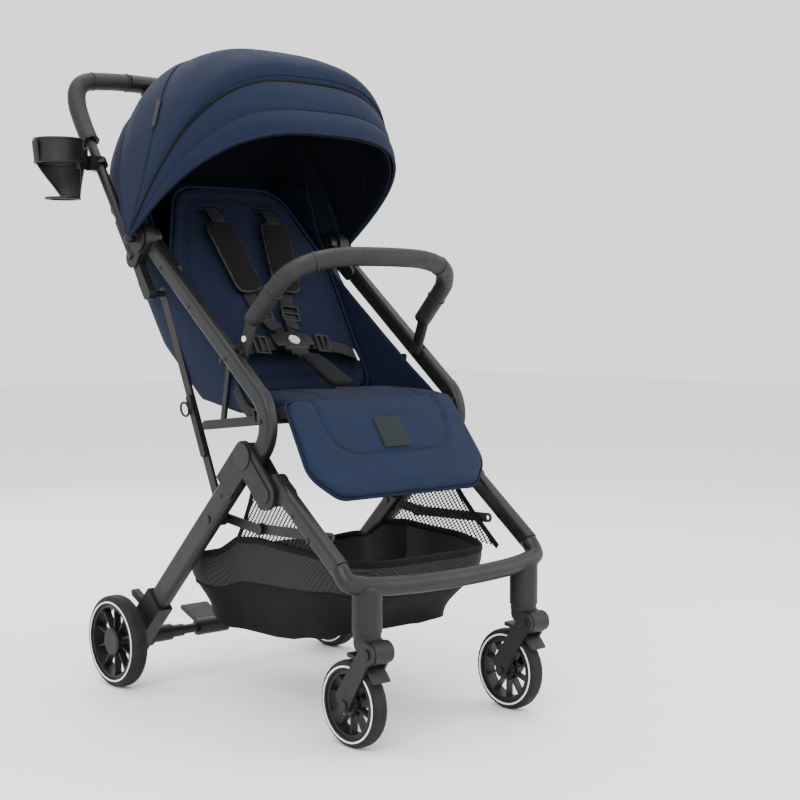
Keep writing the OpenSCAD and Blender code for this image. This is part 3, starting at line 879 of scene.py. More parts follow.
def rib_point(rib, t, lift=0.0):
    side, crown, reach, half = rib
    s = max(0.0, math.sin(math.pi * t))
    c = math.cos(math.pi * t)
    a = math.radians(lerp(side, crown, s ** 1.5))
    k = (reach + lift) * s ** SHOULDER
    wide = CORNER_X + (half - CORNER_X) * min(1.0, 1.6 * s) + lift * 0.8
    x = wide * math.copysign(abs(c) ** SHOULDER, c)
    return at(x, HUB_Y - k * math.cos(a), HUB_Z + k * math.sin(a))


def rib_t(i):
    """Spreads samples along a rib evenly by length."""
    return 0.5 - 0.5 * math.copysign(abs(math.cos(math.pi * i)) ** 1.25, math.cos(math.pi * i))


def hood_panel(stops, bulge=0.0, ripple=0.0, lift=0.0, seed=0.0):
    def point(u, v):
        t = rib_t(u)
        s = max(0.0, math.sin(math.pi * t))
        swell = bulge * 4 * v * (1 - v) * s
        wave = ripple * s * noise.noise(Vector((t * 7 + seed, v * 1.6, seed)))
        return rib_point(rib_mix(stops, v), t, lift + swell + wave)
    return point


def sheet_size(point, nu, nv):
    """Width, length and area of a panel laid flat, measured along its threads."""
    p = [[point(i / nu, j / nv) for j in range(nv + 1)] for i in range(nu + 1)]
    runs = [sum((p[i + 1][j] - p[i][j]).length for i in range(nu)) for j in range(nv + 1)]
    length = (max(runs) + sum(runs) / len(runs)) / 2
    width = max(sum((p[i][j + 1] - p[i][j]).length for j in range(nv)) for i in range(nu + 1))
    area = 0.0
    for i in range(nu):
        for j in range(nv):
            a, b, c, d = p[i][j], p[i + 1][j], p[i + 1][j + 1], p[i][j + 1]
            area += ((b - a).cross(c - a).length + (c - a).cross(d - a).length) / 2
    return width, length, area


def sheet_piece(name, point, nu, nv, mat, held, rests_on, slot=None, thick=SHEET, flat=None):
    """A panel of cloth with an even thickness, declared with the size it is cut to."""
    obj = grid(name, point, nu, nv, thick)
    width, length, area = sheet_size(point, nu, nv)
    finish_piece(obj, mat, slot=slot)
    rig.sheet(obj, flat=flat or (width, length), held=held, rests_on=rests_on, area=area)
    return obj


def blend_across(obj, joint):
    """Blends a piece over a joint given as (body, body, start, end)."""
    a, b, start, end = joint
    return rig.blend(obj, a, b, start=start, end=end)


def arc_at(angle, reach):
    a = math.radians(angle)
    return at(0, HUB_Y - reach * math.cos(a), HUB_Z + reach * math.sin(a))


FRONT_BLEND = ("canopy_rim", "canopy_mid", arc_at(36, BLEND_REACH), arc_at(54, BLEND_REACH))
REAR_BLEND = ("canopy_mid", "canopy_base", arc_at(58, BLEND_REACH), arc_at(86, BLEND_REACH))
LOBE_BLEND = ("canopy_base", "handle", arc_at(106, LOBE_BLEND_REACH), arc_at(128, LOBE_BLEND_REACH))


def hood_sheet(name, stops, joint, mat="navy_fabric", nu=96, nv=14, **shape):
    slot = None if mat in SLOTS else "black_fabric"
    obj = sheet_piece(name, hood_panel(stops, **shape), nu, nv, mat, "stretched",
                      ["canopy_bow_mid", "canopy_bow_front"], slot)
    blend_across(obj, joint)
    return obj


hood_sheet("hood_rim_band", (RIM, BAND), FRONT_BLEND, bulge=4, ripple=1.2, seed=2.0)
upper_band = hood_sheet("hood_upper_band", (BAND, PIPING), FRONT_BLEND, bulge=4, ripple=2.0,
                        seed=5.0)
main = hood_sheet("hood_main", (PIPING, *SWELL, TAG), REAR_BLEND, nv=30, ripple=2.4, seed=9.0)
hood_sheet("hood_rear", (TAG, REAR), REAR_BLEND, nv=20, bulge=5, ripple=2.6, seed=12.0)
# The hood linings are real cloth in a darker navy, and their colour also carries painted shade of the hood's inside.
front_lining = hood_sheet("hood_lining_front", (RIM, BAND, PIPING), FRONT_BLEND, mat="lining",
                          lift=-7, ripple=3.0, seed=21.0)
rear_lining = hood_sheet("hood_lining_rear", (PIPING, *SWELL, TAG, REAR), REAR_BLEND, mat="lining",
                         nv=26, lift=-8, ripple=5.0, seed=30.0)
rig.replaces(main, "canopy_rear")
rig.replaces(upper_band, "canopy_front")
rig.replaces(rear_lining, "canopy_bow_mid")
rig.replaces(front_lining, "canopy_bow_front")


def rib_cord(name, rib, r, mat, joint, lift=0.0, squash=1.0):
    """A seam, hem or piping that runs along a rib."""
    n = 90
    path = [rib_point(rib, rib_t(i / n), lift) for i in range(n + 1)]
    obj = sweep(name, path, lambda s: circle(r, 10, squash), (0, -0.6, 0.8))
    finish_piece(obj, mat)
    return blend_across(obj, joint)


rib_cord("hood_rim_hem", RIM, 0.0030, "navy_fabric", FRONT_BLEND, 0.0, 0.8)
rib_cord("hood_band_seam", BAND, 0.0015, "navy_fabric", FRONT_BLEND, 1.2)
rib_cord("hood_piping", PIPING, 0.0023, "black_fabric", REAR_BLEND, 1.6)
rib_cord("hood_piping_edge", rib_mix((PIPING, *SWELL, TAG), 0.06), 0.0012, "navy_fabric",
         REAR_BLEND, 2.6)
rib_cord("hood_tag_seam", TAG, 0.0014, "navy_fabric", REAR_BLEND, 1.4)
rib_cord("hood_rear_hem", REAR, 0.0026, "navy_fabric", REAR_BLEND)

# black tag without lettering, folded over the seam on the left side
tag_path = [rib_point(TAG, 1 - t, 3.6) for t in (0.155, 0.165, 0.175, 0.185, 0.195, 0.205, 0.215)]
tag = sweep("hood_tag", smooth_path(tag_path, 4), lambda s: strap_section(0.013, 0.0026),
            (-1, 0.1, 0.35))
finish_piece(tag, "webbing")
blend_across(tag, REAR_BLEND)

# rear lobe: the hood's back wall, between the handle tubes
LOBE_HALF = 185
LOBE_SHOULDER = 0.42
LOBE_REACH = [(104, 262), (122, 262), (138, 246), (150, 222), (160, 196)]


def lobe_point(u, v, inside=0.0):
    t = rib_t(0.02 + 0.96 * u)
    k = v * (len(LOBE_REACH) - 1)
    i = min(int(k), len(LOBE_REACH) - 2)
    f = k - i
    angle = lerp(LOBE_REACH[i][0], LOBE_REACH[i + 1][0], f)
    reach = lerp(LOBE_REACH[i][1], LOBE_REACH[i + 1][1], f)
    s, c = max(0.0, math.sin(math.pi * t)), math.cos(math.pi * t)
    reach += 2.5 * s * noise.noise(Vector((t * 9, v * 3, 4.0)))
    reach -= inside
    x = (LOBE_HALF - inside) * math.copysign(abs(c) ** LOBE_SHOULDER, c)
    a = math.radians(angle)
    y = HUB_Y - reach * s ** LOBE_SHOULDER * math.cos(a)
    z = HUB_Z + reach * s ** LOBE_SHOULDER * math.sin(a)
    join_in = smoothstep(v / 0.22)
    return rib_point(REAR, t, -3 - inside).lerp(at(x, y, z), join_in)


lobe = sheet_piece("hood_back", lobe_point, 80, 24, "navy_fabric", "stretched",
                   ["canopy_rear", "handle_tube_left"])
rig.replaces(lobe, "canopy_back")
# Inner lining of the back wall: real lining cloth, made dark so that it also paints the shade inside the hood.
back_lining = sheet_piece("hood_lining_back", lambda u, v: lobe_point(u, v, 6.0), 70, 20,
                          "lining", "stretched", ["hood_back"], "black_fabric")
for part in (lobe, back_lining):
    blend_across(part, LOBE_BLEND)

# corner caps that hold the hood on its hubs
for side, word in SIDES:
    cap = turned(f"hood_corner_{word}", at(side * 228, HUB_Y, HUB_Z), (side, 0, 0),
                 [(-0.012, 0.0), (-0.012, 0.006), (0.0025, 0.0075), (0.0042, 0.006),
                  (0.0048, 0.0)], 32)
    finish_piece(cap, "black_plastic", "canopy_base")


# ---------------------------------------------------------------- seat
CREASE = Vector((128, 484))
BACK_UP = Vector((math.cos(math.radians(60)), math.sin(math.radians(60))))
BACK_OUT = Vector((-BACK_UP.y, BACK_UP.x))


def on_back(x, u, d=0.0):
    """Point on the backrest: x across, u up from the crease, d out of its face (mm)."""
    p = CREASE + BACK_UP * u + BACK_OUT * d
    return at(x, p.x, p.y)


OUT3 = Vector((0, BACK_OUT.x, BACK_OUT.y))

back_outline = round_outline([(-158, 8, 30), (158, 8, 30), (160, 250, 120), (104, 396, 58),
                              (-104, 396, 58), (-160, 250, 120)], 8)
backrest = outline_solid("backrest_pad", back_outline,
                         lambda x, y, d: on_back(x, y, d * 1000 - 27), 0.024)
puff(backrest, OUT3, 0.008, PAD_VOXEL)
backrest_arch = inset(back_outline, 20)
press(backrest, dense([on_back(x, y) for x, y in backrest_arch], closed=True), 0.0045, 0.0045,
      -OUT3)
for side in (-1, 1):
    slot_line = dense([on_back(side * 40, 352), on_back(side * 76, 352)])
    press(backrest, slot_line, 0.006, 0.006, -OUT3)
refine(backrest)
finish_piece(backrest, "seat_fabric", "backrest", ["backrest"])
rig.padded(backrest, fill=0.55)
seam = stitches("backrest_stitching", backrest,
                dense([on_back(x, y) for x, y in inset(back_outline, 22)], closed=True), -OUT3)
finish_piece(seam, "thread", "backrest", slot="seat_fabric")
for side, word in SIDES:
    loop = sweep(f"strap_slot_{word}",
                 smooth_path([on_back(side * 58 + dx, 352 + du, 3.4) for dx, du in
                              [(-19, 0), (-16, 4), (16, 4), (19, 0), (16, -4), (-16, -4)]],
                             6, True),
                 lambda s: circle(0.0013, 8), OUT3, True)
    finish_piece(loop, "navy_fabric", "backrest")

# piping round the backrest
edge_line = [on_back(x, y, -6) for x, y in inset(back_outline, -4)]
edge = sweep("backrest_piping", [Vector(p) for p in edge_line], lambda s: circle(0.0026, 8), OUT3,
             True)
finish_piece(edge, "navy_fabric", "backrest")

# seat cushion
cushion_outline = round_outline([(-161, -56, 26), (161, -56, 26), (161, 116, 16),
                                 (-161, 116, 16)], 6)
cushion = outline_solid("seat_cushion_pad", cushion_outline,
                        lambda x, y, d: at(x, y, 465 + d * 1000), 0.024)
puff(cushion, (0, 0, 1), 0.007, PAD_VOXEL)
for gx in (-96, 96):
    press(cushion, dense([at(gx, -60, 490), at(gx, 116, 490)]), 0.004, 0.004, (0, 0, -1))
refine(cushion)
finish_piece(cushion, "seat_fabric", "seat_frame", ["seat_cushion"])
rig.padded(cushion, fill=0.5)

# seat sides and back: one cloth shell hung from the seat tubes
TUBE_LINE = [(-10, 486), (60, 536), (250, 684), (296, 762), (326, 840)]
SHELL_LINE = [(66, 462), (170, 478), (277, 563), (391, 721), (446, 850)]


def shell_point(u, v):
    ty, tz = along(TUBE_LINE, u)
    by, bz = along(SHELL_LINE, u)
    w = abs(2 * v - 1)
    side = math.copysign(1, 2 * v - 1)
    if w > 0.55:
        k = (w - 0.55) / 0.45
        x = 171 + 3 * math.sin(math.pi * k)
        y, z = lerp(by, ty, k), lerp(bz, tz, k)
        ease = (1 - k) ** 6
        x -= 9 * ease
    else:
        k = w / 0.55
        x = 162 * k
        sag = 9 * (1 - k ** 2) * math.sin(math.pi * min(1.0, u * 1.2))
        y, z = by + sag * 0.8, bz - sag * 0.6
    ripple = 2.2 * noise.noise(Vector((u * 6, v * 5, 3.0)))
    return at(side * x, y + ripple, z - ripple * 0.5)


shell = sheet_piece("seat_shell_cloth", shell_point, 56, 64, "navy_fabric", "hung",
                    ["seat_tube_left", "seat_tube_right"])
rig.replaces(shell, "seat_shell")
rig.blend(shell, "seat_frame", "backrest", start=at(0, 190, 640), end=at(0, 262, 560))

# leg rest
KNEE = Vector((-60, 487))
REST_DOWN = Vector((-88, -126)).normalized()
REST_OUT = Vector((REST_DOWN.y, -REST_DOWN.x))


def on_rest(x, v, d=0.0):
    """Point on the leg rest: x across, v down from the knee, d out of its face (mm)."""
    p = KNEE + REST_DOWN * v + REST_OUT * d
    return at(x, p.x, p.y)


REST3 = Vector((0, REST_OUT.x, REST_OUT.y))
rest_outline = round_outline([(-164, -2, 12), (164, -2, 12), (174, 122, 44), (136, 162, 34),
                              (-136, 162, 34), (-174, 122, 44)], 8)
rest = outline_solid("leg_rest_pad", rest_outline,
                     lambda x, v, d: on_rest(x, v, d * 1000 - 24), 0.020)
puff(rest, REST3, 0.008, PAD_VOXEL)
rest_inset = round_outline([(-122, -10, 4), (122, -10, 4), (120, 99, 58), (-120, 99, 58)], 10)
press(rest, dense([on_rest(x, v) for x, v in rest_inset], closed=True), 0.0042, 0.0042, -REST3)
refine(rest)
finish_piece(rest, "heather", "leg_rest", ["leg_rest"], slot="seat_fabric")
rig.padded(rest, fill=0.55)
seam = stitches("leg_rest_stitching", rest,
                dense([on_rest(x, v) for x, v in inset(rest_inset, 4)], closed=True), -REST3)
finish_piece(seam, "thread", "leg_rest", slot="seat_fabric")
rest_piping = sweep("leg_rest_piping", [on_rest(x, v, -13) for x, v in inset(rest_outline, -2.5)],
                    lambda s: circle(0.0024, 8), REST3, True)
finish_piece(rest_piping, "seat_fabric", "leg_rest")

# blank square patch on the leg rest
hit = on_surface(rest, [on_rest(0, 66)], -REST3)[0][0]
patch = box_piece("leg_rest_patch", hit + REST3 * 0.0004, (0.052, 0.052, 0.0030),
                  ((1, 0, 0), (0, REST_DOWN.x, REST_DOWN.y), REST3), 0.0012, 2)
finish_piece(patch, "patch", "leg_rest", slot="black_fabric")


# ---------------------------------------------------------------- harness
def slide(name, centre, across, along_dir, size, body):
    """Rectangular strap adjuster with a middle bar."""
    across, along_dir = Vector(across).normalized(), Vector(along_dir).normalized()
    out = across.cross(along_dir).normalized()
    w, h = size
    bar = 0.0042
    parts = []
    for k in (-0.5, 0, 0.5):
        parts.append(box_piece(name, Vector(centre) + along_dir * (k * h), (w, bar, 0.0052),
                               (across, along_dir, out), 0.0014, 2))
    for k in (-0.5, 0.5):
        parts.append(box_piece(name, Vector(centre) + across * (k * (w - bar)),
                               (bar, h, 0.0046), (across, along_dir, out), 0.0014, 2))
    obj = join(parts, name)
    return finish_piece(obj, "black_plastic", body)


BUCKLE = Vector((0, 148, 567))
shoulder_pieces = []
for side, word in SIDES:
    top = Vector((side * 57, 284, 752))
    low = Vector((side * 36, 216, 636))
    run = (low - top).normalized()
    web = [on_back(side * 58, 352, -8), on_back(side * 58, 349, 5), on_back(side * 57, 318, 16),
           at(*(top + Vector((0, -6, 4)))), at(*(top.lerp(low, 0.5) + Vector((0, -12, 6)))),
           at(*(low + Vector((0, -5, 2)))), at(side * 27, 190, 610), at(side * 17, 166, 588)]
    s = strap(f"shoulder_strap_{word}", web, 0.026, 0.0022, OUT3)
    shoulder_pieces.append(finish_piece(s, "webbing", "backrest"))
    # padded cover
    mid = at(*(top.lerp(low, 0.47))) + OUT3 * 0.012
    run3 = Vector((run.x, run.y, run.z))
    cross3 = OUT3.cross(run3).normalized()
    out_n = run3.cross(cross3).normalized()
    if out_n.dot(OUT3) < 0:
        out_n = -out_n
    cover_outline = round_outline([(-29, -70, 16), (29, -70, 16), (27, 66, 20), (-27, 66, 20)], 6)
    cover = outline_solid(f"shoulder_pad_{word}", cover_outline,
                          lambda x, y, d, m=mid, c=cross3, r=run3, o=out_n:
                          m + c * (x / 1000) + r * (y / 1000) + o * (d - 0.006), 0.013)
    puff(cover, out_n, 0.005, SMALL_VOXEL)
    refine(cover)
    finish_piece(cover, "black_fabric", "backrest")
    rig.padded(cover, fill=0.7)
    trim = [mid + cross3 * (x / 1000) + run3 * (y / 1000) + out_n * 0.003
            for x, y in inset(cover_outline, 2.0)]
    band = sweep(f"shoulder_pad_piping_{word}", trim, lambda s: circle(0.0021, 8), out_n, True)
    finish_piece(band, "charcoal_plastic", "backrest", slot="black_fabric")
    slide(f"shoulder_adjuster_{word}", at(side * 28, 191, 612) + OUT3 * 0.002, cross3, run3,
          (0.036, 0.026), "backrest")
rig.replaces(shoulder_pieces[0], "shoulder_straps")

crotch = strap("crotch_strap", [at(0, 8, 491), at(0, 30, 504), at(0, 74, 526), at(0, 112, 545),
                                at(0, 146, 561)], 0.030, 0.0026, (0, -0.5, 0.85))
finish_piece(crotch, "webbing", "seat_frame", ["lap_straps"])
pad_outline = round_outline([(-24, -52, 12), (24, -52, 12), (21, 50, 16), (-21, 50, 16)], 6)
pad_run = Vector((0, 88, 44)).normalized()
pad_out = Vector((0, -pad_run.z, pad_run.y))
pad_mid = at(0, 62, 524)
crotch_pad = outline_solid("crotch_pad", pad_outline,
                           lambda x, y, d: pad_mid + Vector((x / 1000, 0, 0))
                           + pad_run * (y / 1000) + pad_out * (d - 0.004), 0.010)
puff(crotch_pad, pad_out, 0.004, SMALL_VOXEL)
refine(crotch_pad)
finish_piece(crotch_pad, "black_fabric", "seat_frame")
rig.padded(crotch_pad, fill=0.6)

for side, word in SIDES:
    lap = strap(f"waist_strap_{word}",
                [at(side * 20, 150, 566), at(side * 54, 150, 563), at(side * 96, 152, 556),
                 at(side * 136, 160, 548), at(side * 158, 174, 540)], 0.025, 0.0022,
                (0, -0.75, 0.6))
    finish_piece(lap, "webbing", "seat_frame")
    slide(f"waist_adjuster_{word}", at(side * 64, 147, 563), (0, 0.5, 0.86),
          (1, 0.02, -0.1), (0.034, 0.026), "seat_frame")
tail = strap("waist_tail", [at(70, 146, 560), at(104, 140, 552), at(132, 146, 544)], 0.023,
             0.0020, (0, -0.75, 0.6))
finish_piece(tail, "webbing", "seat_frame")
tip = box_piece("waist_tail_tip", at(136, 148, 543), (0.007, 0.024, 0.003),
                ((0.95, 0.1, -0.2), (0, 0.6, 0.75), (0, -0.75, 0.6)), 0.0012, 2)
finish_piece(tip, "pale_button", "seat_frame")

# buckle body with its side arms
B_UP = Vector((0, math.cos(math.radians(40)), math.sin(math.radians(40))))
B_OUT = Vector((0, -B_UP.z, B_UP.y))
b_mid = at(*BUCKLE)
body_parts = [box_piece("buckle_body", b_mid - B_OUT * 0.0005, (0.050, 0.044, 0.0125),
                        ((1, 0, 0), B_UP, B_OUT), 0.0052, 4),
              box_piece("buckle_body", b_mid - B_UP * 0.026, (0.034, 0.016, 0.008),
                        ((1, 0, 0), B_UP, B_OUT), 0.003, 3)]
for side in (-1, 1):
    body_parts.append(box_piece("buckle_body", b_mid + Vector((side * 0.029, 0, 0.002)),
                                (0.020, 0.030, 0.009), ((1, 0, 0), B_UP, B_OUT), 0.003, 3))
    body_parts.append(box_piece("buckle_body", b_mid + B_UP * 0.024
                                + Vector((side * 0.013, 0, 0)), (0.018, 0.020, 0.009),
                                ((1, side * 0.3, 0), B_UP, B_OUT), 0.003, 3))
finish_piece(join(body_parts, "buckle_body"), "black_plastic", "seat_frame", ["buckle"])


# ---------------------------------------------------------------- basket
TOP_EDGE = [(-194, 252), (-60, 262), (70, 268), (160, 232), (262, 214)]
FLOOR_EDGE = [(-124, 142), (-59, 127), (22, 114), (142, 113), (240, 140)]


def edge_z(line, y):
    y = min(max(y, line[0][0]), line[-1][0])
    for (y0, z0), (y1, z1) in zip(line, line[1:]):
        if y <= y1:
            return lerp(z0, z1, smoothstep((y - y0) / (y1 - y0)))
    return line[-1][1]


def plan(theta, shrink=0.0):
    """Basket outline seen from above: a rounded box, narrower at its front."""
    c, s = math.cos(theta), math.sin(theta)
    k = 0.42
    x = math.copysign(abs(c) ** k, c)
    y = math.copysign(abs(s) ** k, s)
    cy = lerp(-192, 262, (y + 1) / 2) + (66 * shrink if y < 0 else -22 * shrink) * abs(y)
    half = 151 + 17 * smoothstep((cy - 118) / 60) - 32 * shrink
    return x * half, cy


def basket_wall(v0, v1):
    def point(u, v):
        k = lerp(v0, v1, v)
        x, y = plan(2 * math.pi * u, smoothstep(k) ** 1.5)
        hi, low = edge_z(TOP_EDGE, y), edge_z(FLOOR_EDGE, y)
        z = lerp(hi, low, k)
        sag = 5 * math.sin(math.pi * k) * noise.noise(Vector((u * 9, k * 2, 1.0)))
        return at(x * (1 + sag / 150), y, z)
    return point


def basket_floor(u, v):
    x, y = plan(2 * math.pi * u, 1.0)
    k = 1 - v
    cy = 48 + (y - 48) * k
    z = edge_z(FLOOR_EDGE, cy) + 3 * noise.noise(Vector((x * k / 60, cy / 60, 0)))
    return at(x * k, cy, z)


MESH_SHARE = 0.46
BASKET_BLEND = ("rear_frame", "front_frame", at(0, 150, 200), at(0, -120, 200))


band = sheet_piece("basket_mesh_band", basket_wall(0.0, MESH_SHARE), 140, 10, "mesh_dark",
                   "stretched", ["rear_leg_left", "rear_leg_right"], slot="black_fabric",
                   thick=0.0008)
blend_across(band, BASKET_BLEND)
wall = sheet_piece("basket_fabric", basket_wall(MESH_SHARE, 1.0), 140, 12, "black_fabric",
                   "hung", ["basket_mesh_band"], thick=0.0016)
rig.replaces(wall, "basket")
blend_across(wall, BASKET_BLEND)
floor_cloth = sheet_piece("basket_floor", basket_floor, 140, 16, "black_fabric", "hung",
                          ["basket_fabric"], thick=0.0016, flat=(0.275, 0.365))
blend_across(floor_cloth, BASKET_BLEND)


def loop_at(share, r, name):
    wall_at = basket_wall(0.0, 1.0)
    path = [wall_at(i / 150, share) for i in range(150)]
    obj = sweep(name, path, lambda s: [(a * 0.5, b * 1.6) for a, b in circle(r, 8)], (0, 0, 1),
                True)
    finish_piece(obj, "black_fabric")
    return blend_across(obj, BASKET_BLEND)


loop_at(0.0, 0.0036, "basket_top_binding")
loop_at(MESH_SHARE, 0.0030, "basket_band_binding")
loop_at(0.985, 0.0020, "basket_floor_seam")

# open net triangles from the hubs down to the basket's edge
for side, word in SIDES:
    APEX = (-6, 378)
    net_front, net_rear = -180, 96

    def net_point(u, v, s=side):
        base_y = lerp(net_front, net_rear, v)
        base = Vector((s * 148, base_y, edge_z(TOP_EDGE, base_y)))
        tip_y, tip_z = lerp(APEX[0] - 30, APEX[0] + 22, v), lerp(APEX[1] - 14, APEX[1] - 6, v)
        tip = Vector((s * 171, tip_y, tip_z))
        p = tip.lerp(base, u)
        pull = math.sin(math.pi * u) * (v - 0.5) * -10
        return at(p.x, p.y + pull, p.z)

    net = sheet_piece(f"basket_net_{word}", net_point, 24, 18, "mesh_open", "stretched",
                      ["basket_mesh_band", f"hub_housing_{word}"], slot="black_fabric",
                      thick=0.0007)
    blend_across(net, BASKET_BLEND)
    for v, edge_word in ((0.0, "front"), (1.0, "rear")):
        path = [net_point(i / 16, v) for i in range(17)]
        trim = sweep(f"basket_net_binding_{edge_word}_{word}", path,
                     lambda s: [(a * 1.5, b * 0.5) for a, b in circle(0.0034, 8)], (1, 0, 0))
        finish_piece(trim, "black_fabric")
        blend_across(trim, BASKET_BLEND)


# ---------------------------------------------------------------- bumper, grip and front bar
def cad_bumper(t):
    c, s = math.cos(math.radians(t)), math.sin(math.radians(t))
    return at(168 * math.copysign(abs(c) ** 0.62, c), -24 - 55 * s ** 0.9, 643 + 57 * s ** 0.8)


bumper_path = smooth_path([at(173, 20, 604)] + [cad_bumper(t) for t in range(6, 175, 12)]
                          + [at(-173, 20, 604)], 6)
BUMPER_UP = (0, 0.75, 0.66)
cover = sweep("bumper_cover", bumper_path,
              lambda s: circle(0.0146 + 0.0004 * math.sin(math.pi * s), 28, 0.94), BUMPER_UP)
finish_piece(cover, "soft_grip", "bumper", ["bumper_bar"])
for side, word in SIDES:
    arm = sweep(f"bumper_arm_{word}",
                smooth_path([at(side * 175.6, 42, 548), at(side * 175.6, 38, 556),
                             at(side * 175.4, 29, 578), at(side * 174.6, 20, 600),
                             at(side * 173, 16, 612)], 6),
                lambda s: strap_section(0.0225, 0.0105, 6), (1, 0, 0))
    finish_piece(arm, "black_plastic", "bumper")
for k in (0.045, 0.955, 0.30, 0.70):
    i = int(k * (len(bumper_path) - 1))
    t = (bumper_path[i + 1] - bumper_path[i]).normalized()
    ring = turned(f"bumper_ring_{int(k * 1000)}", bumper_path[i], t,
                  [(-0.0016, 0.0120), (-0.0016, 0.0152), (-0.0008, 0.0157), (0.0008, 0.0157),
                   (0.0016, 0.0152), (0.0016, 0.0120)], 36)
    finish_piece(ring, "black_plastic", "bumper")

GRIP_BACK = 497
for side, word in SIDES:
    grip_path = smooth_path([at(side * 201, 440, 901), at(side * 201, 466, 938),
                             at(side * 200, 484, 970), at(side * 192, 494, 996),
                             at(side * 172, GRIP_BACK, 1010), at(side * 130, GRIP_BACK, 1014.5),
                             at(side * 91, GRIP_BACK, 1016)], 8)
    sleeve = sweep(f"grip_cover_{word}", grip_path,
                   lambda s: circle(0.0150 + 0.0006 * math.sin(math.pi * s), 24, 0.96),
                   (0, -0.81, 0.58))
    finish_piece(sleeve, "soft_grip", "handle", ["grip"])
    for i in (0, 34, len(grip_path) - 2):
        t = (grip_path[i + 1] - grip_path[i]).normalized()
        ring = turned(f"grip_ring_{word}_{i}", grip_path[i], t,
                      [(-0.0012, 0.011), (-0.0012, 0.0158), (0, 0.0163), (0.0012, 0.0158),
                       (0.0012, 0.011)], 32)
        finish_piece(ring, "black_plastic", "handle")


def cad_bar(t):
    c, s = math.cos(math.radians(t)), math.sin(math.radians(t))
    return at(191 * c, -216 - 22 * s ** 0.8, 252 - 24 * s ** 0.5)


bar_path = smooth_path([at(191, -205, 260.5)] + [cad_bar(t) for t in range(6, 175, 12)]
                       + [at(-191, -205, 260.5)], 6)
bar = sweep("front_bar_cover", bar_path, lambda s: circle(0.0128, 26, 1.08), (0, 0.5, 0.85))
finish_piece(bar, "frame_paint", "front_frame")


# ---------------------------------------------------------------- wheels
def stripe(name, centre, radius, x, body):
    """White ring on the wheel's sidewall."""
    side = math.copysign(1, x)
    face = Vector(centre) + Vector((x, 0, 0))
    ring = turned(name, face, (side, 0, 0),
                  [(-0.0008, radius - 0.0016), (0.0005, radius - 0.0011),
                   (0.0007, radius), (0.0005, radius + 0.0011), (-0.0008, radius + 0.0016)], 96)
    return finish_piece(ring, "white_ring", body, slot="pale_button")


def tread(name, centre, radius, half, body, count):
    """Chevron blocks round a tyre."""
    bm = bmesh.new()
    for i in range(count):
        for side in (-1, 1):
            pts = []
            for across, shift in ((0.10, 0.0), (0.92, 0.55)):
                for edge in (-0.22, 0.22):
                    a = 2 * math.pi * (i + shift + edge + (0.5 if side > 0 else 0)) / count
                    drop = 0.0022 * max(0.0, across - 0.35) ** 1.5 * 2.2
                    for r in (radius - 0.0030 - drop, radius + 0.0004 - drop):
                        pts.append(bm.verts.new(Vector(centre) + Vector(
                            (side * across * half * 0.86, -r * math.cos(a), r * math.sin(a)))))
            a0, a1, b0, b1, c0, c1, d0, d1 = pts
            for quad in ((a1, b1, d1, c1), (a0, a1, c1, c0), (b0, d0, d1, b1), (a0, b0, b1, a1),
                         (c0, c1, d1, d0), (a0, c0, d0, b0)):
                bm.faces.new(quad)
    bmesh.ops.recalc_face_normals(bm, faces=bm.faces)
    return finish_piece(from_bmesh(name, bm), "tyre", body, smooth=False)


for end in ("rear", "front"):
    for word in ("left", "right"):
        lo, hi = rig.box(f"{end}_tyre_{word}")
        centre = (lo + hi) / 2
        radius, half = (hi.z - lo.z) / 2, (hi.x - lo.x) / 2
        body = f"{end}_wheel_{word}"
        tread(f"{end}_tread_{word}", centre, radius, half, body, 40 if end == "rear" else 34)
        for side, face in ((-1, "outer" if word == "left" else "inner"),
                           (1, "inner" if word == "left" else "outer")):
            stripe(f"{end}_stripe_{word}_{face}", centre, radius * 0.862, side * half, body)


# ---------------------------------------------------------------- cup holder
CUP = (-268, 425)
CUP_TOP = 899
CUP_R = 40.0


def cup_edge(turn):
    """Height of the cup wall's lower edge: deepest on the side of the handle tube."""
    away = 0.5 - 0.5 * math.cos(turn - 0.45)
    return lerp(804, 861, smoothstep((away - 0.10) / 0.52))


def cup_point(u, v):
    turn = 2 * math.pi * u
    z = lerp(CUP_TOP, cup_edge(turn), v)
    k = min(1.0, max(0.0, (862 - z) / 58))
    r = CUP_R - 15 * smoothstep(k) - 0.8 * math.sin(math.pi * min(1.0, (CUP_TOP - z) / 40))
    lean = 9 * smoothstep(k)
    return at(CUP[0] + lean + r * math.cos(turn), CUP[1] + r * math.sin(turn), z)


cup = grid("cup_wall", cup_point, 144, 44)
bm = bmesh.new()
bm.from_mesh(cup.data)
holes = []
for face in bm.faces:
    c = (face.calc_center_median() - at(CUP[0], CUP[1], 0)) * 1000
    turn = math.degrees(math.atan2(c.y, c.x)) % 360
    for mid_turn, mid_z in ((242, 846), (276, 836)):
        du, dz = (turn - mid_turn) * 0.60, c.z - mid_z
        if math.hypot(du, dz * (0.75 if dz > 0 else 1.0)) < 8.0 - max(0.0, dz) * 0.22:
            holes.append(face)
            break
bmesh.ops.delete(bm, geom=holes, context="FACES")
bmesh.ops.remove_doubles(bm, verts=bm.verts, dist=1e-6)
for _ in range(3):
    rim_verts = [v for v in bm.verts if v.is_boundary and abs(v.co.z * 1000 - CUP_TOP) > 1]
    bmesh.ops.smooth_vert(bm, verts=rim_verts, factor=0.5, use_axis_x=True, use_axis_y=True,
                          use_axis_z=True)
bm.to_mesh(cup.data)
bm.free()
thicken(cup, 0.0026)
finish_piece(cup, "black_plastic", "cup_holder", ["cup_holder"])


def cup_ring(name, x_mid, z, r, wide, tall):
    ring = turned(name, at(x_mid, CUP[1], z), (0, 0, 1),
                  [(-tall, r - wide), (-tall, r + wide * 0.8), (-tall * 0.4, r + wide),
                   (tall * 0.4, r + wide), (tall, r + wide * 0.8), (tall, r - wide)], 64)
    return finish_piece(ring, "black_plastic", "cup_holder")


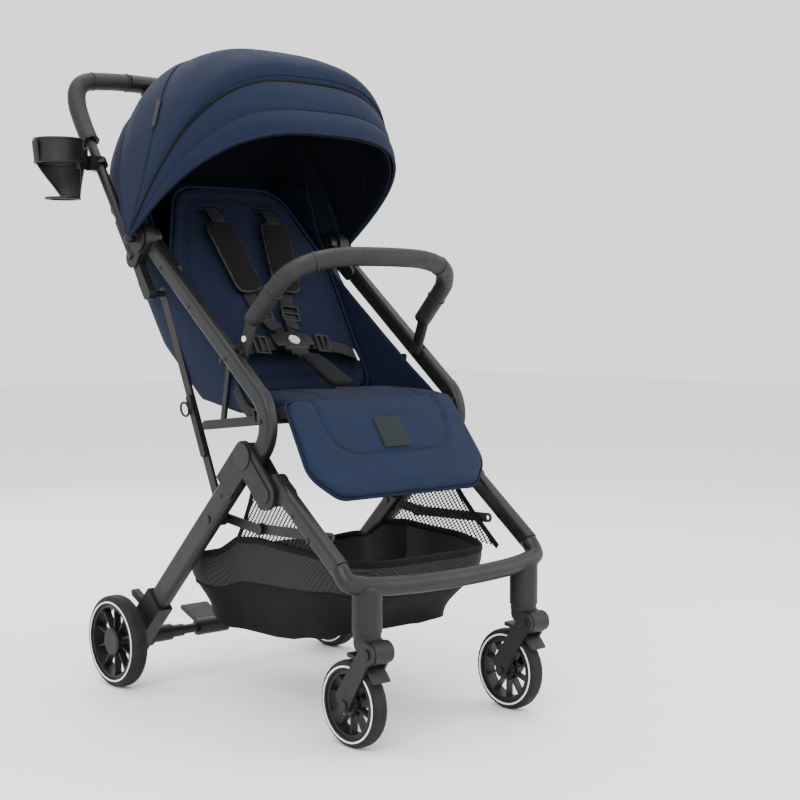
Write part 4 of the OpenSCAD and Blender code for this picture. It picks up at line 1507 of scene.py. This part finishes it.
cup_ring("cup_lip", CUP[0], CUP_TOP - 1, 0.0395, 0.0026, 0.0022)
cup_ring("cup_band", CUP[0], CUP_TOP - 38, 0.0396, 0.0018, 0.0014)
cup_ring("cup_foot", CUP[0] + 6, 803, 0.0262, 0.0034, 0.0018)
hook = box_piece("cup_hook", at(-311, CUP[1] - 2, 878), (0.004, 0.016, 0.034),
                 ((1, 0, 0.12), (0, 1, 0), (-0.12, 0, 1)), 0.0015, 2)
finish_piece(hook, "black_plastic", "cup_holder")
arm = box_piece("cup_arm", at(-228.5, CUP[1], 870), (0.020, 0.020, 0.036),
                ((1, 0, 0), (0, 1, 0), (0, 0, 1)), 0.004, 3)
finish_piece(arm, "black_plastic", "cup_holder")


# ---------------------------------------------------------------- small fittings
def rivet(name, spot, axis, r, body):
    dome = turned(name, spot, axis, [(-0.001, 0.0), (-0.001, r), (0.0008, r * 0.92),
                                     (0.0016, r * 0.6), (0.0019, 0.0)], 20)
    return finish_piece(dome, "rivet", body)


for side, word in SIDES:
    out = (side, 0, 0)
    for i, (y, z) in enumerate(((66, 337), (101.3, 297), (272, 130))):
        rivet(f"rear_leg_rivet_{i}_{word}", at(side * 201.2, y, z), out, 0.0034, "rear_frame")
    for i, (y, z) in enumerate(((-112, 324), (-148, 293))):
        rivet(f"front_leg_rivet_{i}_{word}", at(side * 201.2, y, z), out, 0.0034, "front_frame")
    for i, (y, z) in enumerate(((52, 546), (150, 624), (228, 686))):
        rivet(f"seat_tube_rivet_{i}_{word}", at(side * 201.3, y, z), out, 0.0030, "seat_frame")
    # strap with a ladder buckle that holds the side of the leg rest
    tie = strap(f"rest_strap_{word}", [at(side * 168, -58, 470), at(side * 176, -20, 462),
                                       at(side * 178, 26, 468), at(side * 176, 60, 500)],
                0.018, 0.002, (1, 0, 0))
    finish_piece(tie, "webbing", "seat_frame")
    slide(f"rest_buckle_{word}", at(side * 180, -6, 462), (0, 0.2, 1), (0, 1, -0.1),
          (0.024, 0.022), "seat_frame")

pull = sweep("latch_pull_ring", [at(-182 - 1.5 * math.sin(a), 190 + 11 * math.cos(a),
                                    462 + 11 * math.sin(a))
                                 for a in (2 * math.pi * i / 28 for i in range(28))],
             lambda s: circle(0.0019, 10), (1, 0, 0), True)
finish_piece(pull, "black_plastic", "rear_links")


# ---------------------------------------------------------------- stage, light, camera
def area_light(name, place, target, size, power):
    data = bpy.data.lights.new(name, "AREA")
    data.shape = "RECTANGLE"
    data.size, data.size_y = size
    data.energy = power
    lamp = add_object(name, data)
    lamp.location = place
    lamp.rotation_mode = "QUATERNION"
    lamp.rotation_quaternion = (Vector(target) - Vector(place)).to_track_quat("-Z", "Y")


lo, hi = cad_box
middle = (lo + hi) / 2
area_light("key", middle + Vector((-1.9, -1.5, 1.9)), middle, (1.8, 1.8), 58)
area_light("fill", middle + Vector((1.9, -1.9, 0.9)), middle, (1.8, 1.8), 26)
area_light("front", middle + Vector((-0.5, -2.6, 0.1)), middle, (1.4, 1.0), 12)
area_light("top", middle + Vector((0.2, 0.3, 2.2)), middle, (2.2, 2.2), 46)
area_light("rim", middle + Vector((0.6, 2.4, 1.0)), middle, (1.4, 1.4), 22)

world = bpy.data.worlds.new("studio")
bpy.context.scene.world = world
world.use_nodes = True
world.node_tree.nodes["Background"].inputs["Color"].default_value = (1, 1, 1, 1)
world.node_tree.nodes["Background"].inputs["Strength"].default_value = 1.6

ground = new_object("floor", [(-9, -9, 0), (9, -9, 0), (9, 9, 0), (-9, 9, 0)], [(0, 1, 2, 3)])
pale = Nodes("pale_floor", (0.90, 0.90, 0.90), 0.6)
pale.color(pale.noise(3, 2), [(0.3, (0.89,) * 3), (0.7, (0.91,) * 3)])
ground.data.materials.append(pale.mat)
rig.stage(ground)

camera_data = bpy.data.cameras.new("camera")
camera_data.lens = 67.6
camera_data.sensor_width = 36
camera = add_object("camera", camera_data)
camera.location = (-1.4705, -1.9375, 0.622)
camera.rotation_mode = "QUATERNION"
camera.rotation_quaternion = Vector((0.663, 0.746, -0.061)).to_track_quat("-Z", "Y")
bpy.context.scene.camera = camera

size_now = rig.bounds()
with open("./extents.json", "w") as f:
    json.dump({"cad": [list(c) for c in cad_box], "visual": [list(c) for c in size_now]}, f)
